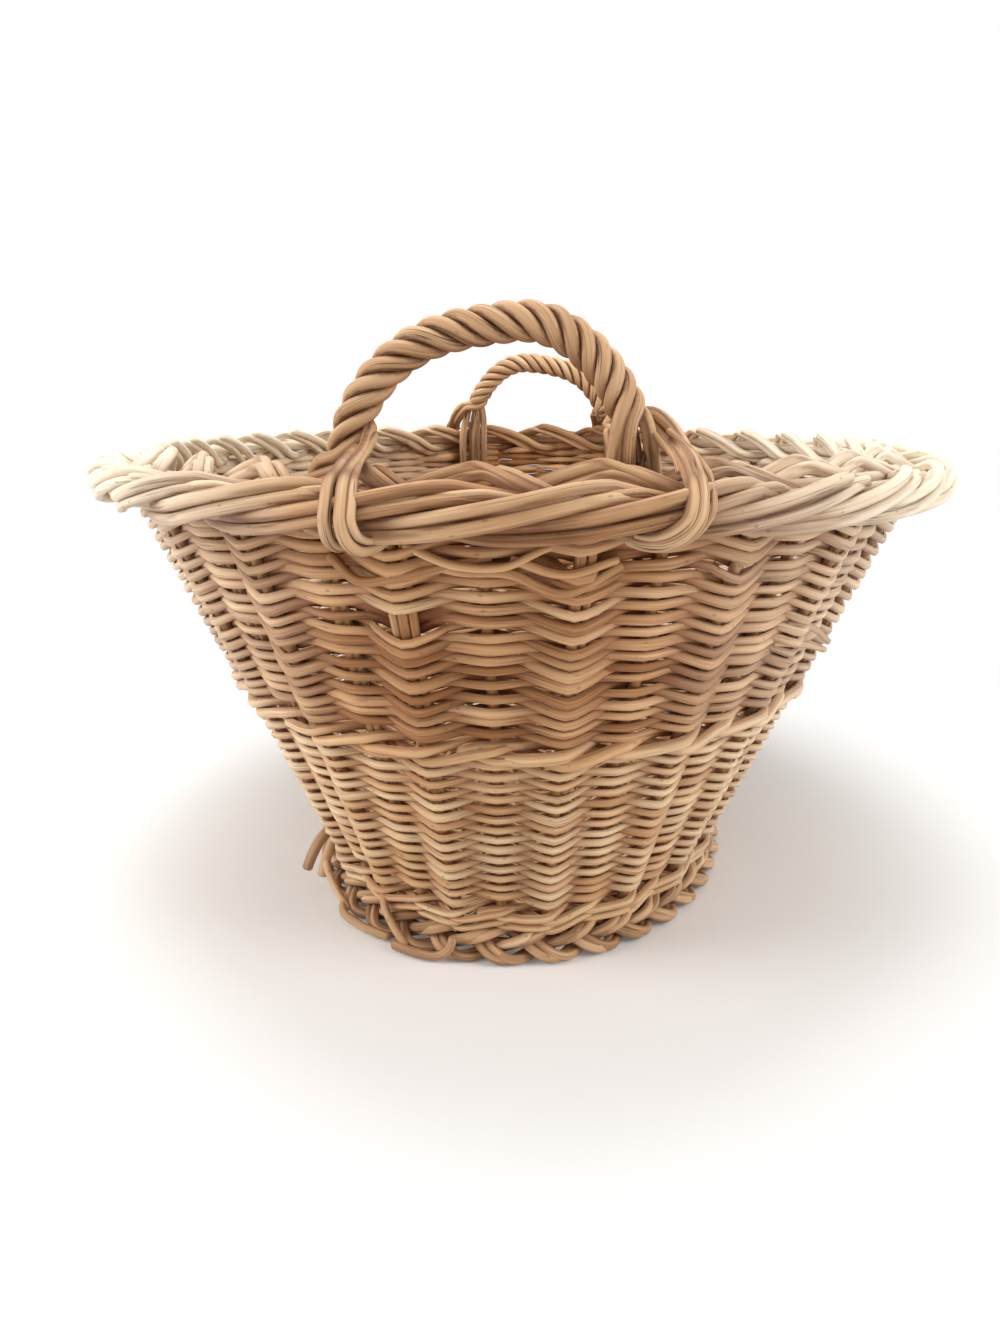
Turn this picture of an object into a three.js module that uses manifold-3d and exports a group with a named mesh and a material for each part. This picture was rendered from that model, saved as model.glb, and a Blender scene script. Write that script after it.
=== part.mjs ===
// Oval willow laundry basket: a flared wall woven on upright stakes, standing on a plaited foot,
// finished with a broad plaited border and carried by two roped bow handles.
// Millimetres, +Z up, long axis along Y. The origin is on the floor, under the middle of the base.

import * as THREE from 'three';
import Module from 'manifold-3d';
import { mergeVertices } from 'three/addons/utils/BufferGeometryUtils.js';

const wasm = await Module();
wasm.setup();

// Driving dimensions: the basket as a whole
const clearance = 0.4; // gap between two rods that lie against each other
const baseLength = 394; // middle line of the wall at the base, front to back
const baseWidth = 256; // the same line, side to side
const wallHeight = 220; // upright, from the base sticks to the border
const wallFlare = 102; // how far the top of the wall stands out beyond the base, all round

// Driving dimensions: stakes and wall weave
const stakeCount = 43; // odd, so that one weaver passes each stake on the other side at every turn
const stakeDiameter = 6.4;
const stakeSides = 6;
const weaverThickness = 3.6; // a weaver is a flat pair of rods
const lowerRows = 8;
const upperRows = 8;
const waleThickness = 5; // a wale is a stouter round rod
const footWaleRows = 1;
const middleWaleRows = 1;
const middleWaleHeight = 110; // underside of the middle wale above the bottom of the wall

// Driving dimensions: border and foot plaits
const borderStrandWidth = 11.6; // each strand is a bundle of bent-down stakes
const borderStrandHeight = 14;
const borderRepeats = 12; // times that one strand swings across the plait on its way round
const borderOverhang = 9.5; // how far the middle of the plait stands outside the top of the wall
const footStrandDiameter = 9.2;
const footRepeats = 10;
const footOverhang = 1.5; // how far the middle of the foot stands outside the bottom of the wall
const footFlat = 0.5; // worn flat where the foot meets the floor

// Driving dimensions: base
const baseStickCount = 21; // odd, as for the stakes
const baseStickDiameter = 7;
const baseCoreLength = 196; // the tied bundle in the middle that the sticks run out from
const baseCoreWidth = 52;
const baseWeaverThickness = 3.4;
const baseSkew = 2; // more room where the weaver crosses a stick aslant
const baseRows = 5;

// Driving dimensions: handles
const handleSpread = 143; // between the middles of the two legs, along the rim
const handleRise = 70; // middle of the bow above the middle of the border
const handleSquareness = 2.3; // 2 is a true ellipse, more is squarer at the shoulders
const handleLegDepth = 58; // how far a leg runs down inside the wall
const bowDiameter = 6.8;
const ropeRodDiameter = 5.6;
const ropeTurns = 5;

// How finely round things are drawn
const plaitSteps = 6; // points in one swing of a plait
const ropeStepsPerTurn = 6;
const bowSteps = 22;
const bowSides = 6;
const hookSteps = 8;
const curveDivisions = 1200;
const ropeSamples = 400;
const weldDistance = 1e-3; // corners closer than this are one corner

const willow = new THREE.MeshStandardMaterial({ color: 0xc29a6b, roughness: 0.72, metalness: 0 });
const paleWillow = new THREE.MeshStandardMaterial({ color: 0xd8bb8f, roughness: 0.68, metalness: 0 });
const brownWillow = new THREE.MeshStandardMaterial({ color: 0xa67a4d, roughness: 0.75, metalness: 0 });

const up = new THREE.Vector3(0, 0, 1);
const basket = new THREE.Group();

function addPiece(parent, name, geometry, material) {
  const mesh = new THREE.Mesh(geometry, material);
  mesh.name = name;
  parent.add(mesh);
  return mesh;
}

// Cross-sections, as points [across, up]

function barSection(thickness, height) {
  const x = thickness / 2;
  const y = height / 2;
  return [[x, -y], [x, y], [-x, y], [-x, -y]];
}

function ovalSection(width, height, sides) {
  return Array.from({ length: sides }, (_, i) => {
    const angle = Math.PI / 2 + (2 * Math.PI * i) / sides;
    return [(width / 2) * Math.cos(angle), (height / 2) * Math.sin(angle)];
  });
}

// A closed solid through a row of stations, each with a centre and the directions of its section.
// A ring joins its last station to its first, and an open rod is capped at both ends.
function loft(stations, section, ring) {
  const sides = section.length;
  const positions = [];
  for (const { centre, across, along } of stations) {
    for (const [x, y] of section) {
      const corner = centre.clone().addScaledVector(across, x).addScaledVector(along, y);
      positions.push(corner.x, corner.y, corner.z);
    }
  }
  const index = [];
  const spans = ring ? stations.length : stations.length - 1;
  for (let i = 0; i < spans; i++) {
    const next = (i + 1) % stations.length;
    for (let j = 0; j < sides; j++) {
      const a = i * sides + j;
      const b = i * sides + ((j + 1) % sides);
      const c = next * sides + ((j + 1) % sides);
      const d = next * sides + j;
      index.push(a, d, c, a, c, b);
    }
  }
  if (!ring) {
    const last = (stations.length - 1) * sides;
    for (let j = 1; j < sides - 1; j++) {
      index.push(0, j, j + 1);
      index.push(last, last + j + 1, last + j);
    }
  }
  const geometry = new THREE.BufferGeometry();
  geometry.setAttribute('position', new THREE.Float32BufferAttribute(positions, 3));
  geometry.setIndex(index);
  return geometry;
}

// Stations along a line of points, with the section square to the line and upright where it can be.
function squareStations(points, ring) {
  const count = points.length;
  return points.map((centre, i) => {
    const before = points[ring ? (i + count - 1) % count : Math.max(i - 1, 0)];
    const after = points[ring ? (i + 1) % count : Math.min(i + 1, count - 1)];
    const travel = after.clone().sub(before).normalize();
    const across = travel.clone().cross(up).normalize();
    return { centre, across, along: across.clone().cross(travel) };
  });
}

// Stations along a rod that runs in every direction: the section is carried on from point to point.
function turningStations(points) {
  let across = new THREE.Vector3(1, 0, 0);
  return points.map((centre, i) => {
    const before = points[Math.max(i - 1, 0)];
    const after = points[Math.min(i + 1, points.length - 1)];
    const travel = after.clone().sub(before).normalize();
    across = across.clone().addScaledVector(travel, -across.dot(travel)).normalize();
    return { centre, across, along: across.clone().cross(travel) };
  });
}

// Joining and cutting closed solids

function toSolid(geometry) {
  const bare = geometry.clone();
  bare.deleteAttribute('normal');
  bare.deleteAttribute('uv');
  const merged = mergeVertices(bare, weldDistance);
  return new wasm.Manifold(new wasm.Mesh({
    numProp: 3,
    vertProperties: new Float32Array(merged.getAttribute('position').array),
    triVerts: new Uint32Array(merged.index.array),
  }));
}

function toGeometry(solid) {
  const { vertProperties, triVerts } = solid.getMesh();
  const geometry = new THREE.BufferGeometry();
  geometry.setAttribute('position', new THREE.Float32BufferAttribute(vertProperties, 3));
  geometry.setIndex(new THREE.BufferAttribute(triVerts, 1));
  return geometry;
}

// Ovals, walked evenly by their length from the front, turning towards +X

function oval(length, width) {
  const curve = new THREE.EllipseCurve(0, 0, width / 2, length / 2, -Math.PI / 2, 1.5 * Math.PI);
  curve.arcLengthDivisions = curveDivisions;
  return curve;
}

function ovalAt(curve, share) {
  const u = share - Math.floor(share);
  const point = curve.getPointAt(u);
  const tangent = curve.getTangentAt(u);
  return {
    point: new THREE.Vector3(point.x, point.y, 0),
    tangent: new THREE.Vector3(tangent.x, tangent.y, 0),
    outward: new THREE.Vector3(tangent.y, -tangent.x, 0),
  };
}

// Heights that follow from the sizes above
const footSwing = (footStrandDiameter + clearance) / 2 / Math.cos(Math.PI / plaitSteps);
const footStrandSide = footStrandDiameter / Math.SQRT2; // a squared strand inside the round one
const footHalfWidth = footSwing + footStrandSide / 2;
const footHeight = 2 * footHalfWidth - footFlat;
const baseMiddle = footHeight + clearance + baseStickDiameter / 2;
const wallBottom = baseMiddle + baseStickDiameter / 2 + clearance;
const wallTop = wallBottom + wallHeight;
const borderLift = (borderStrandHeight + 4 * clearance) / Math.sqrt(3);
const borderHalfHeight = borderLift * Math.sin(Math.PI / 3) + borderStrandHeight / 2;
const borderMiddle = wallTop + clearance + borderHalfHeight;

// Ruled surfaces: the wall from the base line to the rim line, and the base from its core to its edge.
// Each gives, at a share of the way round and a distance out, a point, the way on and the way it faces.

const baseLine = oval(baseLength, baseWidth);
const rimLine = oval(baseLength + 2 * wallFlare, baseWidth + 2 * wallFlare);

function ruled(from, to, distance) {
  const onward = to.point.clone().sub(from.point).divideScalar(distance);
  const tangent = from.tangent.clone().add(to.tangent).normalize();
  return { onward, tangent, facing: tangent.clone().cross(onward).normalize() };
}

function wallAt(share, height) {
  const bottom = ovalAt(baseLine, share);
  const top = ovalAt(rimLine, share);
  top.point.z = wallHeight;
  const surface = ruled(bottom, top, wallHeight);
  const point = bottom.point.clone().addScaledVector(surface.onward, height);
  point.z += wallBottom;
  return { point, ...surface };
}

// How far a weaver's middle lies from the middle of the stakes: clear of the stake that it goes round,
// though it slants from one side to the other between two stakes that are a spacing apart.
function weaverOffset(thickness, postDiameter, spacing) {
  const reach = postDiameter / 2 + 1.5 * clearance;
  const slant = 1 - (4 * reach * reach) / (spacing * spacing);
  const inside = thickness * thickness - slant * (thickness * thickness - 4 * reach * reach);
  return (thickness + Math.sqrt(inside)) / (2 * slant);
}

// One unbroken weaver that winds round a ruled surface, in front of some posts and behind others.
// It climbs a row at every turn, and an odd number of posts makes the rows alternate.
// It tapers where it starts and ends, so that the weave is level at both edges.
function weaverCoil({ surfaceAt, posts, rows, from, to, thickness, offset, inFront }) {
  const pitch = (to - from + clearance) / rows;
  const height = pitch - clearance;
  const stations = [];
  for (let step = 0; step <= (rows + 1) * posts; step++) {
    const climb = from + pitch * (step / posts - 1);
    const low = Math.max(climb, from);
    const high = Math.min(climb + height, to);
    if (high - low < clearance) continue;
    const { point, onward, facing } = surfaceAt(step / posts, (low + high) / 2);
    const side = inFront(step) ? offset : -offset;
    const along = onward.multiplyScalar((high - low) / height);
    stations.push({ centre: point.addScaledVector(facing, side), across: facing, along });
  }
  return loft(stations, barSection(thickness, height), false);
}

const everyOther = (step) => step % 2 === 0;
const twoOfThree = (step) => step % 3 !== 0;

// Wall: the stakes, then the weave from the base up

const stakeSpacing = baseLine.getLength() / stakeCount;
const weaveOffset = weaverOffset(weaverThickness, stakeDiameter, stakeSpacing);
const waleOffset = weaverOffset(waleThickness, stakeDiameter, stakeSpacing);
const weaveHalf = weaveOffset + weaverThickness / 2; // from the middle of the wall to its faces
const waleHalf = waleOffset + waleThickness / 2;
const lean = wallFlare / Math.hypot(wallFlare, wallHeight); // sine of the wall's slope
const stakeEnd = (lean * stakeDiameter) / 2; // a leaning stake's square end tips this far beyond its middle
const weaveEnd = lean * Math.max(weaveHalf, waleHalf); // and the leaning weave this far

// A stake stands on a base stick where it meets one, and otherwise comes down to the foot.
function stakeFootHeight(share) {
  const nearest = Math.round(share * baseStickCount) / baseStickCount;
  const away = Math.abs(share - nearest) * baseLine.getLength();
  const onStick = away < (stakeDiameter + baseStickDiameter) / 2 + 2 * clearance;
  return stakeEnd - (onStick ? 0 : baseStickDiameter + clearance);
}

// Its head reaches up to the strand of the border that passes over it.
function stakeHeadHeight(share) {
  const radius = stakeDiameter / 2;
  const aside = radius / rimLine.getLength();
  const ceilings = [-aside, 0, aside].flatMap((shift) => (
    [-radius, 0, radius, 2 * radius].map((outwards) => borderUnderside(share + shift, outwards))
  ));
  return Math.min(...ceilings) - wallBottom - 2 * clearance - stakeEnd;
}

function buildStakes() {
  for (let i = 0; i < stakeCount; i++) {
    const share = i / stakeCount;
    const foot = wallAt(share, stakeFootHeight(share)).point;
    const head = wallAt(share, stakeHeadHeight(share)).point;
    const length = foot.distanceTo(head);
    const stake = new THREE.CylinderGeometry(stakeDiameter / 2, stakeDiameter / 2, length, stakeSides);
    const name = `stake_${String(i + 1).padStart(2, '0')}`;
    const mesh = addPiece(basket, name, stake, brownWillow);
    mesh.position.copy(foot).lerp(head, 0.5);
    mesh.quaternion.setFromUnitVectors(new THREE.Vector3(0, 1, 0), head.clone().sub(foot).normalize());
  }
}

function buildBand(name, rows, from, to, thickness, offset, inFront) {
  const band = { surfaceAt: wallAt, posts: stakeCount, rows, from, to, thickness, offset, inFront };
  addPiece(basket, name, weaverCoil(band), willow);
  return to + clearance;
}

function buildWale(name, rows, from) {
  const to = from + rows * (waleThickness + clearance) - clearance;
  return buildBand(name, rows, from, to, waleThickness, waleOffset, twoOfThree);
}

function buildWeave(name, rows, from, to) {
  buildBand(name, rows, from, to, weaverThickness, weaveOffset, everyOther);
}

function buildWall() {
  buildStakes();
  const lowerBottom = buildWale('foot_wale', footWaleRows, weaveEnd);
  buildWeave('lower_weave', lowerRows, lowerBottom, middleWaleHeight - clearance);
  const upperBottom = buildWale('middle_wale', middleWaleRows, middleWaleHeight);
  buildWeave('upper_weave', upperRows, upperBottom, wallHeight - weaveEnd);
}

// Border: strands plaited into a flat band round the rim.
// A strand swings across the band once while it rises and falls twice, a third of a swing behind the last.

const borderStrands = 3;
const borderSteps = borderRepeats * plaitSteps;
const plaitSlant = 1.35; // room across the band for a strand that runs aslant, in strand widths
const borderSwing = borderStrandWidth * plaitSlant + clearance;
const borderHalfWidth = borderSwing + borderStrandWidth / 2;
const borderLine = oval(
  baseLength + 2 * (wallFlare + borderOverhang),
  baseWidth + 2 * (wallFlare + borderOverhang),
);

// Where a strand is at one step of its way round: how far out from the middle of the band, and how high
function borderStrandAt(strand, step) {
  const phase = 2 * Math.PI * ((step + 0.5) / plaitSteps + strand / borderStrands);
  return { out: borderSwing * Math.sin(phase), height: borderMiddle - borderLift * Math.sin(2 * phase) };
}

// The lowest part of the border above a point of the rim, or its middle where no strand passes over
function borderUnderside(share, outwards) {
  const step = Math.floor(share * borderSteps);
  const part = share * borderSteps - step;
  let lowest = borderMiddle;
  for (let strand = 0; strand < borderStrands; strand++) {
    const before = borderStrandAt(strand, step);
    const after = borderStrandAt(strand, step + 1);
    const out = borderOverhang + THREE.MathUtils.lerp(before.out, after.out, part);
    const height = THREE.MathUtils.lerp(before.height, after.height, part);
    const covered = 1 - Math.abs(outwards - out) / ((plaitSlant * borderStrandWidth) / 2);
    if (covered > 0) lowest = Math.min(lowest, height - (covered * borderStrandHeight) / 2);
  }
  return lowest;
}

function buildBorder() {
  const section = ovalSection(borderStrandWidth, borderStrandHeight, 4);
  for (let strand = 0; strand < borderStrands; strand++) {
    const points = [];
    for (let step = 0; step < borderSteps; step++) {
      const { point, outward } = ovalAt(borderLine, step / borderSteps);
      const { out, height } = borderStrandAt(strand, step);
      points.push(point.addScaledVector(outward, out).setZ(height));
    }
    const ring = loft(squareStations(points, true), section, true);
    addPiece(basket, `border_strand_${strand + 1}`, ring, paleWillow);
  }
}

// Foot: two strands twisted round each other under the edge of the base, worn flat underneath.

const footLine = oval(baseLength + 2 * footOverhang, baseWidth + 2 * footOverhang);

function buildFoot() {
  const strands = 2;
  const steps = footRepeats * plaitSteps;
  const middle = footHeight - footHalfWidth;
  const floorDepth = footStrandDiameter;
  const floor = new THREE.BoxGeometry(2 * baseWidth, 2 * baseLength, floorDepth);
  floor.translate(0, 0, -floorDepth / 2);
  const section = barSection(footStrandSide, footStrandSide);
  for (let strand = 0; strand < strands; strand++) {
    const points = [];
    for (let step = 0; step < steps; step++) {
      const phase = 2 * Math.PI * (step / plaitSteps + strand / strands) - Math.PI / 2;
      const { point, outward } = ovalAt(footLine, step / steps);
      point.addScaledVector(outward, footSwing * Math.cos(phase));
      point.z = middle + footSwing * Math.sin(phase);
      points.push(point);
    }
    const whole = toSolid(loft(squareStations(points, true), section, true));
    addPiece(basket, `foot_strand_${strand + 1}`, toGeometry(whole.subtract(toSolid(floor))), brownWillow);
  }
}

// Base: sticks that run out from a tied core to lie on the foot, and one weaver wound over and under them.

const baseInset = footHalfWidth + clearance - footOverhang; // the weave ends inside the foot
const baseCoreLine = oval(baseCoreLength, baseCoreWidth);
const baseInnerLine = oval(baseLength - 2 * baseInset, baseWidth - 2 * baseInset);
const baseWeaveWidth = (baseWidth - baseCoreWidth) / 2 - baseInset; // at the sides

function baseAt(share, distance) {
  const core = ovalAt(baseCoreLine, share);
  const surface = ruled(core, ovalAt(baseInnerLine, share), baseWeaveWidth);
  const point = core.point.clone().addScaledVector(surface.onward, distance);
  point.z = baseMiddle;
  return { point, ...surface };
}

function buildBase() {
  const shares = Array.from({ length: baseStickCount }, (_, i) => i / baseStickCount);
  const core = new THREE.Shape(shares.map((share) => ovalAt(baseCoreLine, share).point));
  const plate = new THREE.ExtrudeGeometry(core, { depth: baseStickDiameter, bevelEnabled: false });
  plate.translate(0, 0, baseMiddle - baseStickDiameter / 2);
  const section = ovalSection(baseStickDiameter, baseStickDiameter, stakeSides);
  const rootDepth = baseCoreWidth / 4; // a stick's root lies this far inside the core
  let frame = toSolid(plate);
  for (const share of shares) {
    const root = baseAt(share, -rootDepth).point;
    const edge = ovalAt(footLine, share);
    const tip = edge.point.addScaledVector(edge.outward, stakeDiameter / 2).setZ(baseMiddle);
    frame = frame.add(toSolid(loft(squareStations([root, tip], false), section, false)));
  }
  addPiece(basket, 'base_sticks', toGeometry(frame), brownWillow);

  const spacing = baseCoreLine.getLength() / baseStickCount;
  addPiece(basket, 'base_weave', weaverCoil({
    surfaceAt: baseAt,
    posts: baseStickCount,
    rows: baseRows,
    from: 4 * clearance,
    to: baseWeaveWidth,
    thickness: baseWeaverThickness,
    offset: weaverOffset(baseWeaverThickness, baseStickDiameter + baseSkew, spacing),
    inFront: everyOther,
  }), willow);
}

// Handles: a stout bow whose legs run down inside the wall, roped with two rods that cross the border
// outside and hook in under it.

const legShare = handleSpread / 2 / rimLine.getLength();
const ropeReach = (bowDiameter + ropeRodDiameter) / 2 + clearance;
const ropeSwing = ropeReach / Math.cos(Math.PI / ropeStepsPerTurn); // clear of the bow between two steps
const ropeRods = 2;
const legOffBorder = borderHalfWidth - borderOverhang + 2 * clearance + bowDiameter / 2;
const ropeStart = borderHalfHeight + clearance + ropeRodDiameter; // above the middle of the border
const hookSquareness = 3; // how closely a hook follows the band's square section
const hookFrom = 0.55 * Math.PI; // a hook starts on top of the border, just inside its middle
const hookTo = -0.45 * Math.PI; // and ends under it, just outside its middle

// A circle's sine or cosine, drawn out towards a square
function squarer(x, squareness) {
  return Math.sign(x) * Math.abs(x) ** (2 / squareness);
}

// A point beside the border at one leg: along the rim, outward from the wall and above the border's middle
function besideBorder(side, alongRim, outwards, above) {
  const { point, tangent, outward } = ovalAt(rimLine, side * legShare);
  point.addScaledVector(tangent, alongRim).addScaledVector(outward, outwards);
  return point.setZ(borderMiddle + above);
}

// How far the end of a leg lies inside the middle of the wall: against the weave, which slants between two stakes.
// The handle's middle is a share of the way round the rim from the front.
function legInset(handleShare) {
  const inStakes = (handleShare + legShare) * stakeCount;
  const offStake = Math.abs(inStakes - Math.round(inStakes));
  const spacing = rimLine.getLength() / stakeCount;
  const rimRadius = (baseWidth / 2 + wallFlare) ** 2 / (baseLength / 2 + wallFlare); // at the rounded ends
  const chord = (spacing * spacing * offStake * (1 - offStake)) / (2 * rimRadius); // the weave runs straight
  const weaveInside = weaveOffset * (1 - 2 * offStake) + weaverThickness / 2 + chord;
  return weaveInside + (bowDiameter / 2 + clearance) * Math.hypot(1, (2 * weaveOffset) / spacing);
}

function legPoints(side, inset) {
  const down = [1, 0.5].map((part) => {
    const { point, facing } = wallAt(side * legShare, wallHeight - part * handleLegDepth);
    return point.addScaledVector(facing, -THREE.MathUtils.lerp(legOffBorder, inset, part * (2 - part)));
  });
  const past = [-borderHalfHeight, 0].map((above) => besideBorder(side, 0, -legOffBorder, above));
  return [...down, ...past];
}

// The bow's arch, from the left leg at share 0 to the right leg at share 1
function archPoint(share) {
  const left = besideBorder(-1, 0, -legOffBorder, 0);
  const right = besideBorder(1, 0, -legOffBorder, 0);
  const angle = Math.PI * share;
  const point = left.clone().lerp(right, (1 - squarer(Math.cos(angle), handleSquareness)) / 2);
  point.z += handleRise * squarer(Math.sin(angle), handleSquareness);
  return point;
}

function bowCurve(inset) {
  const archSteps = 10;
  const arch = Array.from({ length: archSteps - 1 }, (_, i) => archPoint((i + 1) / archSteps));
  const points = [...legPoints(-1, inset), ...arch, ...legPoints(1, inset).reverse()];
  return new THREE.CatmullRomCurve3(points, false, 'centripetal');
}

// The end of a roping rod, from the rope outwards: over the border, down its outside and in under it
function hookPoints(side, alongRim) {
  const room = clearance + ropeRodDiameter / 2;
  return Array.from({ length: hookSteps }, (_, i) => {
    const angle = THREE.MathUtils.lerp(hookFrom, hookTo, i / (hookSteps - 1));
    const out = (borderHalfWidth + room) * squarer(Math.cos(angle), hookSquareness);
    const above = (borderHalfHeight + room) * squarer(Math.sin(angle), hookSquareness);
    return besideBorder(side, alongRim, borderOverhang + out, above);
  });
}

// A roping rod winds round the bow from one leg to the other, the second half a turn behind the first.
function ropePoints(bow, rod) {
  const heights = Array.from({ length: ropeSamples + 1 }, (_, i) => bow.getPointAt(i / ropeSamples).z);
  const begin = heights.findIndex((z) => z > borderMiddle + ropeStart) / ropeSamples;
  const end = 1 - begin;
  const backward = new THREE.Vector3(0, 1, 0);
  const steps = ropeTurns * ropeStepsPerTurn;
  const coil = Array.from({ length: steps + 1 }, (_, i) => {
    const share = begin + ((end - begin) * i) / steps;
    const sideways = backward.clone().cross(bow.getTangentAt(share)).normalize();
    const turn = 2 * Math.PI * ((ropeTurns * i) / steps + rod / ropeRods);
    return bow.getPointAt(share)
      .addScaledVector(sideways, ropeSwing * Math.cos(turn))
      .addScaledVector(backward, ropeSwing * Math.sin(turn));
  });
  const apart = rod === 0 ? ropeSwing : -ropeSwing;
  return [...hookPoints(-1, apart).reverse(), ...coil, ...hookPoints(1, -apart)];
}

function buildHandle(name, share) {
  const handle = new THREE.Group();
  handle.rotation.z = 2 * Math.PI * share;
  basket.add(handle);
  const bow = bowCurve(legInset(share));
  const bowSection = ovalSection(bowDiameter, bowDiameter, bowSides);
  const bowSolid = loft(turningStations(bow.getSpacedPoints(bowSteps)), bowSection, false);
  addPiece(handle, `${name}_handle_bow`, bowSolid, brownWillow);
  const rodSection = ovalSection(ropeRodDiameter, ropeRodDiameter, 4);
  for (let rod = 0; rod < ropeRods; rod++) {
    const rodSolid = loft(turningStations(ropePoints(bow, rod)), rodSection, false);
    addPiece(handle, `${name}_handle_rope_${rod + 1}`, rodSolid, willow);
  }
}

buildWall();
buildBorder();
buildFoot();
buildBase();
buildHandle('front', 0);
buildHandle('back', 0.5);

export default basket;
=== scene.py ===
import math

import bpy
import numpy as np
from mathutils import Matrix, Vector


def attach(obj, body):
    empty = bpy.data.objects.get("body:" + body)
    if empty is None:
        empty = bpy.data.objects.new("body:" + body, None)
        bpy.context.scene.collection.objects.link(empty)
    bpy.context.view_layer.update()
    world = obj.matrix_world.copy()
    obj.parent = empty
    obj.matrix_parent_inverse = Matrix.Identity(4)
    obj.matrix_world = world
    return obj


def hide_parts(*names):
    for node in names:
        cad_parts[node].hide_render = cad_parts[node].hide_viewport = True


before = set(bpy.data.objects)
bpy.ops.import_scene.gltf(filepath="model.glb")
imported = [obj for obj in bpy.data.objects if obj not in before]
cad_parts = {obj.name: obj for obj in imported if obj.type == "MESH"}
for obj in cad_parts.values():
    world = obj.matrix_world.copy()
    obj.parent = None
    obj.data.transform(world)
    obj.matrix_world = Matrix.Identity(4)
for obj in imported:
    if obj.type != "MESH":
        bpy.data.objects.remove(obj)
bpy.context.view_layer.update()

luckSeed = 43
luck = np.random.default_rng(luckSeed)  # one source for every irregularity
fullTurn = 2 * math.pi
mm = 0.001
ovalSteps = 2400
rootBody = "root"

# The wall's own lines, in metres: an oval at the base, a wider oval at the rim
wall = {
    "halfWidth": 0.128,
    "halfLength": 0.197,
    "flare": 0.102,
    "bottom": 0.0249,
    "height": 0.2200,
    "stakes": 43,
}
rimHalfWidth = wall["halfWidth"] + wall["flare"]
rimHalfLength = wall["halfLength"] + wall["flare"]


# Places on the ovals and on the wall

def ovalWalk(halfWidth, halfLength, shares):
    # even steps round an oval from the front, turning towards +X
    turn = np.linspace(-math.pi / 2, 1.5 * math.pi, ovalSteps + 1)
    x = halfWidth * np.cos(turn)
    y = halfLength * np.sin(turn)
    walked = np.concatenate([[0.0], np.cumsum(np.hypot(np.diff(x), np.diff(y)))])
    angle = np.interp(np.mod(shares, 1.0) * walked[-1], walked, turn)
    flat = np.zeros_like(angle)
    spot = np.stack([halfWidth * np.cos(angle), halfLength * np.sin(angle), flat], -1)
    travel = np.stack([-halfWidth * np.sin(angle), halfLength * np.cos(angle), flat], -1)
    travel /= np.linalg.norm(travel, axis=-1, keepdims=True)
    outward = np.stack([travel[..., 1], -travel[..., 0], flat], -1)
    return spot, travel, outward


def ovalLength(halfWidth, halfLength):
    turn = np.linspace(0, fullTurn, ovalSteps + 1)
    return float(np.sum(np.hypot(np.diff(halfWidth * np.cos(turn)), np.diff(halfLength * np.sin(turn)))))


def wallPlace(shares, heights, outs):
    # a point of the wall at a height above its bottom, moved out along the way the wall faces
    shares, heights, outs = np.broadcast_arrays(shares, heights, outs)
    low, lowTravel, _ = ovalWalk(wall["halfWidth"], wall["halfLength"], shares)
    high, highTravel, _ = ovalWalk(rimHalfWidth, rimHalfLength, shares)
    onward = high - low
    onward[..., 2] = wall["height"]
    spot = low + onward * (heights / wall["height"])[..., None]
    spot[..., 2] += wall["bottom"]
    travel = unit(lowTravel + highTravel)
    facing = unit(np.cross(travel, onward))
    return spot + facing * outs[..., None], facing


def ringPlace(ring, shares, outs, ups):
    # a point beside a level oval line: out from it and up from its own height
    spot, _, outward = ovalWalk(ring["halfWidth"], ring["halfLength"], shares)
    spot = spot + outward * np.asarray(outs)[..., None]
    spot[..., 2] = ring["middle"] + ups
    return spot


def unit(vectors):
    return vectors / np.linalg.norm(vectors, axis=-1, keepdims=True)


def easeStep(low, high, x):
    part = np.clip((x - low) / (high - low), 0.0, 1.0)
    return part * part * (3 - 2 * part)


def asShare(wave):
    # from -1 and 1 to 0 and 1
    return 0.5 + 0.5 * wave


def smoothThrough(knots, values, at):
    # a smooth line through given points
    knots = np.asarray(knots, float)
    values = np.asarray(values, float)
    slope = np.gradient(values, knots, axis=0)
    i = np.clip(np.searchsorted(knots, at, side="right") - 1, 0, len(knots) - 2)
    span = (knots[i + 1] - knots[i])
    s = ((at - knots[i]) / span)[:, None]
    span = span[:, None]
    rise = values[i] * (2 * s**3 - 3 * s**2 + 1) + values[i + 1] * (3 * s**2 - 2 * s**3)
    return rise + slope[i] * span * (s**3 - 2 * s**2 + s) + slope[i + 1] * span * (s**3 - s**2)


# fewest points of a route, and the steps along loose rods, the rope and the bow
routes = {"least": 4, "loose": 0.002, "rope": 0.0014, "bow": 0.003}


def smoothRoute(points, step):
    # the same through points in space, with an even step
    points = np.asarray(points, float)
    chords = np.linalg.norm(np.diff(points[:, :3], axis=0), axis=1)
    knots = np.concatenate([[0.0], np.cumsum(chords)])
    count = max(int(knots[-1] / step), routes["least"])
    return smoothThrough(knots, points, np.linspace(0, knots[-1], count))


swayDrift = 0.18  # how far each wave moves on from one row to the next


def sway(shares, climb, amount, waves):
    # slow unevenness round a ring, that changes little from one row to the next
    total = np.zeros_like(shares)
    for times, phase in waves:
        angle = fullTurn * times * shares + phase + swayDrift * times * climb
        total = total + np.sin(angle) / math.sqrt(times)
    return amount * total / math.sqrt(len(waves))


def drawWaves(times):
    return [(t, luck.uniform(0, fullTurn)) for t in times]
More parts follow.
